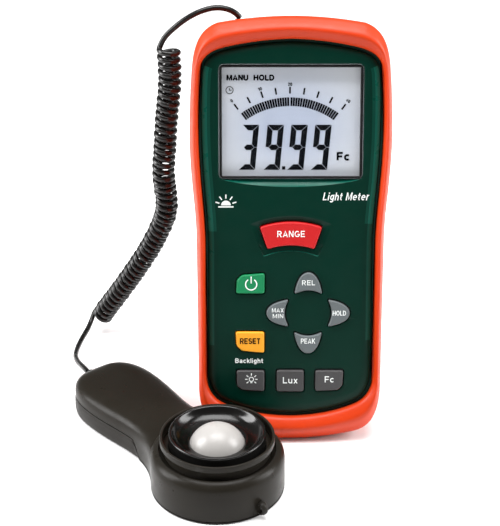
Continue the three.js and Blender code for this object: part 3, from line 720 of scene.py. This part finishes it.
def ray_marks(bm, centre, near, far, width, angles, level, material):
    for angle in angles:
        way = Vector((math.cos(math.radians(angle)), math.sin(math.radians(angle))))
        bar_mark(bm, Vector(centre) + way * near, Vector(centre) + way * far, width, level, material)


def key_legend(bm, name):
    top = KEY_TOP + 0.01
    if name == "power_key":
        centre = (-15.5, 65)
        ring_mark(bm, centre, 2.45, 2, 122, 418, top, 1)
        bar_mark(bm, (-15.5, 65.4), (-15.5, 68.2), 0.45, top, 1)
    elif name == "backlight_key":
        centre = (-15.4, 25.9)
        ring_mark(bm, centre, 1.05, 0.72, 0, 359.9, top, 1)
        ray_marks(bm, centre, 1.55, 2.5, 0.34, (0, 40, 90, 140, 180, 220, 320), top, 1)
        bar_mark(bm, (-15.8, 24.5), (-15, 24.5), 0.34, top, 1)
    else:
        words = {
            "range_key": [("RANGE", (0.2, 85.4), 2.5, 10.9, 0.15)],
            "reset_key": [("RESET", (-15.9, 41.8), 2.35, 8.1, 0.19)],
            "rel_key": [("REL", (7.2, 65.7), 2.05, 5.2, 0.14)],
            "hold_key": [("HOLD", (19.6, 53.3), 2, 5.3, 0.15)],
            "peak_key": [("PEAK", (7.2, 41.8), 2.1, 5.7, 0.14)],
            "max_min_key": [("MAX", (-4.9, 54.5), 1.7, 4.7, 0.15), ("MIN", (-4.8, 52.1), 1.7, 4.3, 0.15)],
            "lux_key": [("Lux", (0.2, 25.5), 2.6, 6, 0.15)],
            "foot_candle_key": [("Fc", (15.9, 25.9), 2.6, 3.8, 0.15)],
        }[name]
        for text, (x, y), height, width, weight in words:
            letter(bm, text, (x - width / 2, y - height / 2), height, top, width, 0, weight, 1)


for name, (outline, colour) in KEYS.items():
    bm = bmesh.new()
    flange = inset(outline, -0.8)
    levels = [(outline, -8.2), (outline, -4.5), (flange, -4.4), (flange, -2.8), (outline, -2.7),
              (outline, 0.6), (inset(outline, 0.04), 0.82), (inset(outline, 0.13), 1.02),
              (inset(outline, 0.26), 1.15), (inset(outline, 0.4), 1.2), (inset(outline, 0.5), 1.2)]
    made = [add_ring(bm, at_level(points, level)) for points, level in levels]
    bridge(bm, made)
    fill(bm, [made[0]])
    fill(bm, [made[-1]])
    key_legend(bm, name)
    legend = BROWN_INK if name == "reset_key" else WHITE_INK
    make(name.replace("_key", "_button"), bm, on_meter, name, [colour, legend], [name])

# ------------------------------------------------------------------ front housing

def eased(value, low, high):
    share = min(max((value - low) / (high - low), 0), 1)
    return share * share * (3 - 2 * share)


DISPLAY = (28.2, 106.8, 151.7, 1.9)
DISH = sector(40.2, 25.9, 0.42, 0.43)


def display_holes():
    """Rings of the display opening, whose lower edge is a shallow crescent scoop."""
    half_width, low, high, radius = DISPLAY
    outline = rectangle(half_width, low, high, radius)
    outline = evenly(outline, 0.8)
    deep, rings = 3.0, []
    for grow, level, scoop, scoop_level in (
            (0.55, 0, 1.06, 0), (0.35, 0, 1.0, 0), (0.15, -0.06, 0.95, -0.06),
            (0.03, -0.25, 0.7, -0.62), (0, -0.5, 0.35, -1.35), (0, -0.9, 0, -2.1), (0, -2.4, 0, -2.4)):
        ring = []
        for p, q in zip(outline, inset(outline, -grow)):
            if p.y < low + 0.05 and abs(p.x) < half_width - radius + 0.1:
                share = 1 - (p.x / (half_width - radius + 0.1)) ** 2
                drop = deep * max(share, 0) ** 0.85
                amount = min(drop / 0.8, 1)
                ring.append((q.x, q.y * (1 - amount) + low * amount - drop * scoop,
                             level * (1 - amount) + scoop_level * amount))
            else:
                ring.append((q.x, q.y, level))
        rings.append(ring)
    return rings


def key_holes(name):
    outline = KEYS[name][0]
    if name == "range_key":
        dish = softened(DISH, 0.3, 8)
        count = len(outline)
        dish = evenly(dish, length_of([*dish, dish[0]]) / count)
        dish = dish[:count]
        edge = inset(outline, -0.75)
        rings = [(inset(dish, -0.3), 0), (dish, 0), (inset(dish, 0.3), -0.05),
                 (blended(dish, edge, 0.35), -0.2), (blended(dish, edge, 0.65), -0.42),
                 (edge, -0.55), (inset(outline, -0.5), -0.65), (inset(outline, -0.42), -1),
                 (inset(outline, -0.42), FACE_INSIDE)]
        return [[(x, y, min(z, -0.45 * (1 - eased(y, 79.6, 82))) if 1 < i < 5 else z)
                 for x, y, z in at_level(points, level)] for i, (points, level) in enumerate(rings)]
    rings = [(inset(outline, -grow), level) for grow, level in (
        (0.95, 0), (0.75, 0), (0.55, -0.06), (0.43, -0.25), (0.4, -0.6), (0.4, FACE_INSIDE))]
    return [at_level(points, level) for points, level in rings]


# Painted highlights: lighter greens painted on the rolled sides of the face and on the ledges of its two
# hollows, where these faces would catch the lights.
PAINTED_HIGHLIGHT = moulded("green_painted_highlight", linear(6, 84, 70), 0.3, 0.3, 0.01, 0.06, 0.1, 0.04, 0.2)
PAINTED_HALF_HIGHLIGHT = moulded("green_painted_half_highlight", linear(2, 60, 48), 0.32, 0.3, 0.01, 0.06, 0.1, 0.04, 0.16)


def tint(rings, shades, wanted):
    """Gives each band between two rings its material, where the band's edge is wanted."""
    for low, high, material in zip(rings, rings[1:], shades):
        for i, vert in enumerate(low):
            after = low[(i + 1) % len(low)]
            if material and wanted(vert.co, after.co):
                face = next(f for f in vert.link_faces if after in f.verts and high[i] in f.verts)
                face.material_index = material


def front():
    bm = bmesh.new()
    rim = [(4.6, 0), (4.2, -0.01), (3.7, -0.05), (3.1, -0.14), (2.5, -0.27), (1.9, -0.46), (1.35, -0.71),
           (0.9, -1.0), (0.55, -1.32), (0.28, -1.7), (0.1, -2.1), (0, -2.5), (0, FLANGE + 0.02)]
    outer = [at_level(inset(FACE_EDGE, distance), level) for distance, level in rim]
    outer += [
        boot_ring(HOUSING_INSET, FLANGE, HOUSING_SEAT), boot_ring(HOUSING_INSET, PARTING, HOUSING_SEAT),
        boot_ring(HOUSING_INSET + WALL, PARTING, HOUSING_SEAT + WALL),
        boot_ring(HOUSING_INSET + WALL, FACE_INSIDE, HOUSING_SEAT + WALL)]
    made = [add_ring(bm, ring) for ring in outer]
    bridge(bm, made)
    # Painted highlights on the rolled left and right sides of the face: the lighter green on the outer
    # bands of the upper part, the half-lit green further in and lower down.
    for shades, low, high in (((0, 0, 3, 3, 2, 2, 2, 2), 88, 156), ((0, 0, 0, 0, 3, 3, 3, 3), 40, 88)):
        tint(made, shades, lambda p, q: abs(q.y - p.y) > 3 * abs(q.x - p.x) and low < p.y <= high)
    tops, bottoms = [made[0]], [made[-1]]
    for name, rings in {"display": display_holes(), **{key: key_holes(key) for key in KEYS}}.items():
        hole = [add_ring(bm, ring) for ring in rings]
        bridge(bm, hole)
        tops.append(hole[0])
        bottoms.append(hole[-1])
        # Painted highlights: the lighter green on the crescent scoop under the display and on the lower
        # ledge of the RANGE dish.
        if name == "display":
            tint(hole, (0, 0, 2, 2, 2), lambda p, q: p.y < DISPLAY[1] - 0.2)
        elif name == "range_key":
            tint(hole, (0, 2), lambda p, q: p.y < 81 and abs(q.x - p.x) > abs(q.y - p.y))
    fill(bm, tops)
    fill(bm, bottoms)
    top = 0.03
    letter(bm, "Light Meter", (12.5, 98.6), 3.1, top, 17.9, 0.2, 0.13, 1)
    letter(bm, "Backlight", (-21.9, 32.4), 1.85, top, 11.2, 0, 0.19, 1)
    sensor_sign(bm, top)
    make("front_shell", bm, on_meter, "meter",
         [GREEN, WHITE_INK, PAINTED_HIGHLIGHT, PAINTED_HALF_HIGHLIGHT], ["front_housing"], 30)


def sensor_sign(bm, top):
    """A plain sign for a light sensor: a dome on a line, with rays above it."""
    centre = (-25.4, 96.6)
    ink(bm, arc(centre, 1.9, 0, math.pi, 18), top, 1)
    bar_mark(bm, (-28.4, 96), (-22.4, 96), 0.5, top, 1)
    ray_marks(bm, centre, 2.7, 4.3, 0.45, (18, 54, 90, 126, 162), top, 1)


front()

# ------------------------------------------------------------------ display

LCD_LEVEL = -4.17


def lcd_material():
    material, tree, shader = nodes_of("lcd_film")
    where = node(tree, "ShaderNodeTexCoord").outputs["Object"]
    centre = on_meter(0, 127, -4.2)
    moved = node(tree, "ShaderNodeMapping", {
        "Vector": where, "Location": (-centre.x / 0.04, -centre.y / 0.04, -centre.z / 0.032),
        "Scale": (25, 25, 31)})
    painted_edge_light = node(tree, "ShaderNodeTexGradient", {"Vector": moved.outputs[0]},
                gradient_type="SPHERICAL").outputs["Fac"]
    # Painted light: the film is lighter towards its edges, to cancel the shade that the recess around it
    # casts there.
    base = mixed(tree, between(tree, painted_edge_light, 0, 0.75), linear(236, 239, 243), linear(178, 188, 208))
    base = mixed(tree, between(tree, noise(tree, 0.35, 3), 0.3, 0.7, 0, 0.1), base,
                 linear(196, 204, 214))
    uneven = between(tree, noise(tree, 3, 2), 0.3, 0.7, 0.4, 0.5)
    feed(tree, shader, {"Base Color": base, "Roughness": uneven})
    return material


def glass_material(name, colour, alpha):
    material, tree, shader = nodes_of(name)
    base = mixed(tree, noise(tree, 9, 2), shade(colour, 0.96), colour)
    uneven = between(tree, noise(tree, 2.5, 4), 0.35, 0.7, 0.06, 0.14)
    feed(tree, shader, {"Base Color": base, "Roughness": uneven, "Alpha": alpha, "IOR": 1.49,
                        "Specular IOR Level": 0.2})
    return material


def digit_parts(width, height, thick, split):
    """The seven bars of a display digit, with a thin split between them."""
    w, h, t, g = width, height, thick, split
    mid = h / 2
    upper_right = [(w, h - g), (w, mid + g), (w - t / 2, mid + g / 2), (w - t, mid + t / 2 + g),
                   (w - t, h - t - g)]
    top = [(g, h), (w - g, h), (w - t - g, h - t), (t + g, h - t)]
    centre = [(t / 2 + g, mid), (t + g, mid - t / 2), (w - t - g, mid - t / 2), (w - t / 2 - g, mid),
              (w - t - g, mid + t / 2), (t + g, mid + t / 2)]
    return {
        "a": top, "b": upper_right, "c": [(x, h - y) for x, y in upper_right],
        "d": [(x, h - y) for x, y in top], "e": [(w - x, h - y) for x, y in upper_right],
        "f": [(w - x, y) for x, y in upper_right], "g": centre}


def lcd():
    bm = bmesh.new()
    prism(bm, rectangle(29.4, 105.2, 152.8, 1), -6.9, -4.2)
    parts = digit_parts(6.4, 17.7, 2.15, 0.13)
    slant = math.tan(math.radians(5.3))
    for left, bars in ((-20.4, "abcdg"), (-10.7, "abcdfg"), (-1.4, "abcdfg"), (7.9, "abcdfg")):
        for bar in bars:
            outline = [(left + x + slant * y, 110.1 + y) for x, y in parts[bar]]
            ink(bm, outline, LCD_LEVEL, 1)
    bar_mark(bm, (-3.35, 110.8), (-2.1, 110.8), 1.3, LCD_LEVEL, 1)
    centre = (-0.4, 106.2)
    first, last = math.radians(126.2), math.radians(53.8)
    group, bars = (last - first) / 8, 5
    step = group / (bars + 0.08)
    for i in range(8 * bars):
        a = first + group * (i // bars) + step * (i % bars + (0.22 if i >= 4 * bars else -0.02))
        outline = arc(centre, 32.3, a + step * 0.8, a, 2) + arc(centre, 29, a, a + step * 0.8, 2)
        ink(bm, outline, LCD_LEVEL, 1)
    for i in range(9):
        angle = first + (last - first) * i / 8
        way = Vector((math.cos(angle), math.sin(angle)))
        near = 33.8 if i not in (0, 8) else 34.2
        bar_mark(bm, Vector(centre) + way * near, Vector(centre) + way * (near + 2.6), 0.65,
                 LCD_LEVEL, 1)
        if i in (0, 2, 4, 8):
            spot = Vector(centre) + way * (near + 3.6 + (0.6 if i in (0, 8) else 0))
            letter(bm, str(i * 5), spot, 1.25, LCD_LEVEL, weight=0.22, material=1,
                   turn=angle - math.pi / 2)
    letter(bm, "MANU", (-25, 145.1), 2.15, LCD_LEVEL, 8.3, 0, 0.28, 1)
    letter(bm, "HOLD", (-14.5, 145.1), 2.15, LCD_LEVEL, 7.9, 0, 0.28, 1)
    letter(bm, "Fc", (18.1, 113.8), 3.2, LCD_LEVEL, 5.1, 0, 0.25, 1)
    ring_mark(bm, (-23.9, 141.3), 1.55, 1.25, 0, 359.9, LCD_LEVEL, 1)
    bar_mark(bm, (-24.1, 141.3), (-23.1, 141.3), 0.28, LCD_LEVEL, 1)
    bar_mark(bm, (-23.95, 141.2), (-23.95, 142.1), 0.28, LCD_LEVEL, 1)
    make("lcd_glass_stack", bm, on_meter, "meter", [lcd_material(), SEGMENT],
         ["lcd_panel"])


lcd()


def window():
    bm = bmesh.new()
    rings = [(0.25, -3.9), (0, -3.75), (0, -2.85), (0.25, -2.7)]
    loft(bm, [at_level(rectangle(30 - d, 104.6 + d, 153.4 - d, 1), level) for d, level in rings])
    make("window_pane", bm, on_meter, "meter",
         [glass_material("display_glass", linear(60, 66, 72), 0.04)], ["display_window"])


window()


def bezel():
    bm = bmesh.new()
    outer = rectangle(27.9, 107.1, 151.4, 1.7)
    inner = rectangle(26.9, 107.9, 150.4, 0.35)
    rings = [(outer, FACE_INSIDE), (outer, -0.7), (blended(outer, inner, 0.15), -0.45),
             (blended(outer, inner, 0.4), -0.4), (blended(outer, inner, 0.75), -0.5),
             (blended(outer, inner, 0.95), -0.8), (inner, -1.2), (inner, FACE_INSIDE)]
    made = [add_ring(bm, at_level(points, level)) for points, level in rings]
    bridge(bm, [*made, made[0]])
    make("bezel_frame", bm, on_meter, "meter", [BLACK], ["display_bezel"])


bezel()

# ------------------------------------------------------------------ sensor

HEAD_RADIUS = 26
HANDLE_END = 84.5


def sensor_half(steps):
    points = arc((0, 0), HEAD_RADIUS, -math.pi / 2, 0.66, steps * 3)
    for stretch in ([(17.6, 20.6), (14.6, 26.5), (14.6, 36)], [(14.7, 45), (16.9, 52), (17, 64)],
                    [(17.1, 77), (12.5, 84.1), (4, 84.5)]):
        knots = [points[-1], *stretch]
        count = steps * 2
        points += [bezier(knots, i / count) for i in range(1, count + 1)]
    points.append(Vector((0, HANDLE_END)))
    return points


SENSOR_EDGE = mirrored(sensor_half(10))


def seam(y):
    """Height of the line between the shells: halfway up the handle, at the foot of the head."""
    return 1 + 6.85 * eased(y, 31.5, 36.5)


def shell_ring(distance, height):
    """An outline of the sensor. The height is a number, or is worked out from each point."""
    ring = []
    for p, q in zip(SENSOR_EDGE, inset(SENSOR_EDGE, distance)):
        ring.append((q.x, q.y, height(p) if callable(height) else height))
    return ring


def sensor_bottom():
    bm = bmesh.new()
    proud = 0.28

    def grip(p):
        return proud * eased(p.y, 33, 37) * (1 - eased(p.y, 79, 84))

    def bulged(distance, height):
        ring = []
        for p, q, r in zip(SENSOR_EDGE, inset(SENSOR_EDGE, distance), inset(SENSOR_EDGE, distance - 1)):
            s = q + (r - q) * grip(p)
            z = min(height, seam(p.y) - 0.14 - (0.5 if height > 7.6 else 0))
            if height > 7.8:
                z = seam(p.y) - 0.14
            ring.append((s.x, s.y, z))
        return ring

    rings = [shell_ring(2.0, 0), shell_ring(1.2, 0.05)]
    rings += [bulged(d, z) for d, z in (
        (0.7, 0.35), (0.35, 0.8), (0.15, 1.5), (0.02, 2.6), (0, 3.8), (0, 5.2), (0.02, 6.4), (0.1, 7.7),
        (0.32, 7.9))]
    rings.append([(p.x, p.y, seam(q.y) - 0.14)
                  for p, q in zip(inset(SENSOR_EDGE, WALL), SENSOR_EDGE)])
    rings.append([(p.x, p.y, 0.9) for p in inset(SENSOR_EDGE, WALL)])
    loft(bm, rings)
    make("sensor_base", bm, on_sensor, "sensor", [SENSOR_GRIP],
         ["sensor_bottom_shell"], 50)


def sensor_top():
    bm = bmesh.new()
    rings = [shell_ring(2.2, lambda p: seam(p.y) + 0.14)]
    rings += [shell_ring(d, lambda p, z=z: seam(p.y) + z) for d, z in ((0.3, 0.14), (0.08, 0.3))]
    rings += [
        shell_ring(d, lambda p, z=z: max(z, seam(p.y) + 0.45 + z * 0.01)) for d, z in (
            (0, 4.6), (0, 6.4), (0, 8.4), (0, 9.8))]
    handle = [(0.05, 10.9), (0.28, 12.0), (0.75, 12.9), (1.5, 13.7), (2.6, 14.3), (4.0, 14.8),
              (6.0, 15.2), (8.2, 15.45), (10.5, 15.6)]
    rings += [shell_ring(d, z) for d, z in handle]
    rings = [[(x, y, min(z, 15.6)) for x, y, z in ring] for ring in rings]
    loft(bm, rings)
    make("sensor_cover", bm, on_sensor, "sensor", [SENSOR],
         ["sensor_top_shell"], 50)


sensor_bottom()
sensor_top()


def sensor_drum():
    """The round housing of the head, with a soft shoulder round a sunken seat."""
    bm = bmesh.new()
    profile = [(0, 1.2), (25.9, 1.2), (26.02, 1.6), (26.03, 12.6), (26.0, 13.6), (25.8, 14.6),
               (25.4, 15.5), (24.8, 16.3), (24.0, 16.95), (23.1, 17.35), (22.7, 17.4), (22.6, 17.2),
               (22.6, 16.2), (11, 16.2), (11, 15.8), (0, 15.8)]
    turned(bm, profile, 128)
    make("sensor_drum", bm, on_sensor, "sensor", [SENSOR], (), 35)


sensor_drum()


def sensor_rings():
    bm = bmesh.new()
    outer = [(18.9, 16.5), (20.7, 16.5), (20.75, 20.2), (21.9, 20.5), (22.1, 20.75), (22.1, 22.6),
             (22.02, 22.85), (21.85, 22.98), (21.5, 23), (21.15, 22.9), (21.0, 22.6), (20.8, 18.7),
             (20.5, 18.6), (18.9, 18.6), (18.9, 16.5)]
    turned(bm, outer, 128)
    make("sensor_collar", bm, on_sensor, "sensor", [SENSOR], ["sensor_ring"], 35)
    bm = bmesh.new()
    inner = [(10.9, 16.5), (18.6, 16.5), (18.6, 24.0), (18.55, 24.35), (18.4, 24.6), (18.15, 24.7),
             (17.85, 24.68), (17.5, 24.45), (17.2, 24.0), (16.8, 23.3), (16.1, 22.5), (15.2, 21.8),
             (14.2, 21.3), (13.2, 20.95), (12.1, 20.65), (11.1, 20.45), (10.9, 20.3), (10.9, 16.5)]
    turned(bm, inner, 128)
    make("sensor_dish", bm, on_sensor, "sensor", [SENSOR_GLOSS], ["sensor_cone"], 40)


sensor_rings()


def dome_material():
    material, tree, shader = nodes_of("diffuser")
    base = mixed(tree, noise(tree, 7, 3), linear(158, 155, 152), linear(166, 163, 160))
    uneven = between(tree, noise(tree, 1.5, 3), 0.3, 0.7, 0.3, 0.38)
    bump = node(tree, "ShaderNodeBump", {
        "Height": noise(tree, 0.4, 2), "Strength": 0.3, "Distance": 0.01 * MM})
    feed(tree, shader, {
        "Base Color": base, "Roughness": uneven, "Normal": bump.outputs[0], "Subsurface Weight": 0.35,
        "Subsurface Radius": (0.004, 0.004, 0.004), "Subsurface Scale": 1.0})
    return material


def dome():
    bm = bmesh.new()
    base_radius, base, top = 10.3, 20.4, 26.9
    rise = top - base
    sphere = (base_radius ** 2 + rise ** 2) / (2 * rise)
    half_angle = math.asin(base_radius / sphere)
    profile = [(0, 19), (10.6, 19), (10.6, 19.8), (10.45, 20.1)]
    for i in range(19):
        angle = half_angle * (1 - i / 18)
        profile.append((sphere * math.sin(angle), top - sphere * (1 - math.cos(angle))))
    turned(bm, profile, 96)
    make("dome_lens", bm, on_sensor, "sensor", [dome_material()],
         ["diffuser_dome"], 40)


dome()


def eyelet():
    """The lug on the front of the head, with a hole for a wrist cord."""
    bm = bmesh.new()
    rings = []
    for i in range(20):
        a = i * 2 * math.pi / 20
        middle = Vector((0, -27.0 + 1.95 * math.cos(a), 4.2 + 1.95 * math.sin(a)))
        out = Vector((0, math.cos(a), math.sin(a)))
        rings.append([
            middle + out * math.cos(b) * 0.85 + Vector((1.35, 0, 0)) * math.sin(b)
            for b in (k * math.pi / 6 for k in range(12))])
    made = [add_ring(bm, ring) for ring in rings]
    bridge(bm, [*made, made[0]])
    make("wrist_lug", bm, on_sensor, "sensor", [SENSOR])


eyelet()


def strain_relief():
    bm = bmesh.new()
    profile = [(0, -4.7), (3.7, -4.7), (3.7, -2.5), (2.6, -2.5), (2.6, 0.4), (3.2, 0.5), (3.5, 0.8),
               (3.5, 1.3), (3.2, 1.7), (2.7, 1.8), (2.65, 2.1), (2.9, 2.3), (2.9, 2.7), (2.6, 3.0),
               (2.2, 3.1), (2.15, 3.4), (2.3, 3.6), (2.3, 4.0), (2.0, 4.6), (1.5, 5.1), (0, 5.2)]
    turned(bm, profile, 40)
    make("strain_sleeve", bm, lambda x, y, z: on_sensor(x, HANDLE_END + z, 7.85 + y), "sensor",
         [BLACK], ["sensor_strain_relief"], 40)


strain_relief()

# ------------------------------------------------------------------ CAD pieces that stay

BOARD = moulded("board_laminate", linear(22, 92, 52), 0.45, 0.5, 0.02, 0.12, 0.1, 0.1)
PLAIN = {
    "rear_housing": GREEN, "battery_door": GREEN, "tilt_stand": BLACK, "cord_grommet": BLACK,
    "battery_snap": BLACK, "main_board": BOARD, "sensor_board": BOARD,
    "keypad_mat": moulded("mat_silicone", linear(120, 120, 122), 0.6, 0.3, 0.02),
    "battery": moulded("battery_jacket", linear(46, 48, 56), 0.35, 0.6, 0.01),
    "backlight_panel": moulded("light_guide", linear(226, 226, 222), 0.4, 0.4, 0.01),
    "filter_disc": glass_material("filter_glass", linear(60, 110, 88), 0.6),
    "photodiode": moulded("detector", linear(44, 48, 58), 0.25, 0.6, 0.004),
}
for name in ("battery_door_screw", "housing_screw_1", "housing_screw_2", "housing_screw_3",
             "housing_screw_4", "stand_pin_1", "stand_pin_2", "sensor_screw_1", "sensor_screw_2"):
    PLAIN[name] = STEEL
BEVELS = {"rear_housing": 0.5, "battery_door": 0.45, "tilt_stand": 0.7, "cord_grommet": 0.2,
          "battery": 0.6, "main_board": 0.15, "battery_snap": 0.4}
for name, material in PLAIN.items():
    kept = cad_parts[name]
    for material_slot in kept.material_slots:
        material_slot.material = material
    if not kept.material_slots:
        kept.data.materials.append(material)
    if name in BEVELS:
        bevel = kept.modifiers.new("edges", "BEVEL")
        bevel.width = BEVELS[name] * MM
        bevel.segments = 3
        bevel.limit_method = "ANGLE"
        bevel.angle_limit = math.radians(35)

# ------------------------------------------------------------------ floor and lights

floor_mesh = bpy.data.meshes.new("floor")
floor_mesh.from_pydata(
    [(-6, -6, 0), (6, -6, 0), (6, 6, 0), (-6, 6, 0)], [], [(0, 1, 2, 3)])
floor = bpy.data.objects.new("floor", floor_mesh)
bpy.context.scene.collection.objects.link(floor)
floor_material, floor_tree, floor_shader = nodes_of("pale_floor")
floor_base = mixed(floor_tree, noise(floor_tree, 300, 2), linear(244, 244, 244), linear(247, 247, 247))
feed(floor_tree, floor_shader, {"Base Color": floor_base, "Roughness": 0.85, "Specular IOR Level": 0.1})
floor_mesh.materials.append(floor_material)


def light(name, place, aim, size, power):
    data = bpy.data.lights.new(name, "AREA")
    data.shape = "RECTANGLE"
    data.size, data.size_y = size
    data.energy = power
    holder = bpy.data.objects.new(name, data)
    holder.location = place
    holder.rotation_euler = (Vector(aim) - Vector(place)).to_track_quat("-Z", "Y").to_euler()
    bpy.context.scene.collection.objects.link(holder)


light("softbox_left", (-0.85, 0.0, 0.48), (-0.02, 0, 0.08), (0.4, 0.75), 14)
light("softbox_right", (0.9, 0.0, 0.48), (0, 0, 0.08), (0.4, 0.75), 12)
light("softbox_top", (0, 0, 1.05), (0, 0, 0.08), (0.9, 0.55), 15)

world = bpy.data.worlds.new("studio")
world.use_nodes = True
feed(world.node_tree, world.node_tree.nodes["Background"], {"Color": (1, 1, 1, 1), "Strength": 0.24})
bpy.context.scene.world = world
bpy.context.scene.view_settings.view_transform = "Standard"
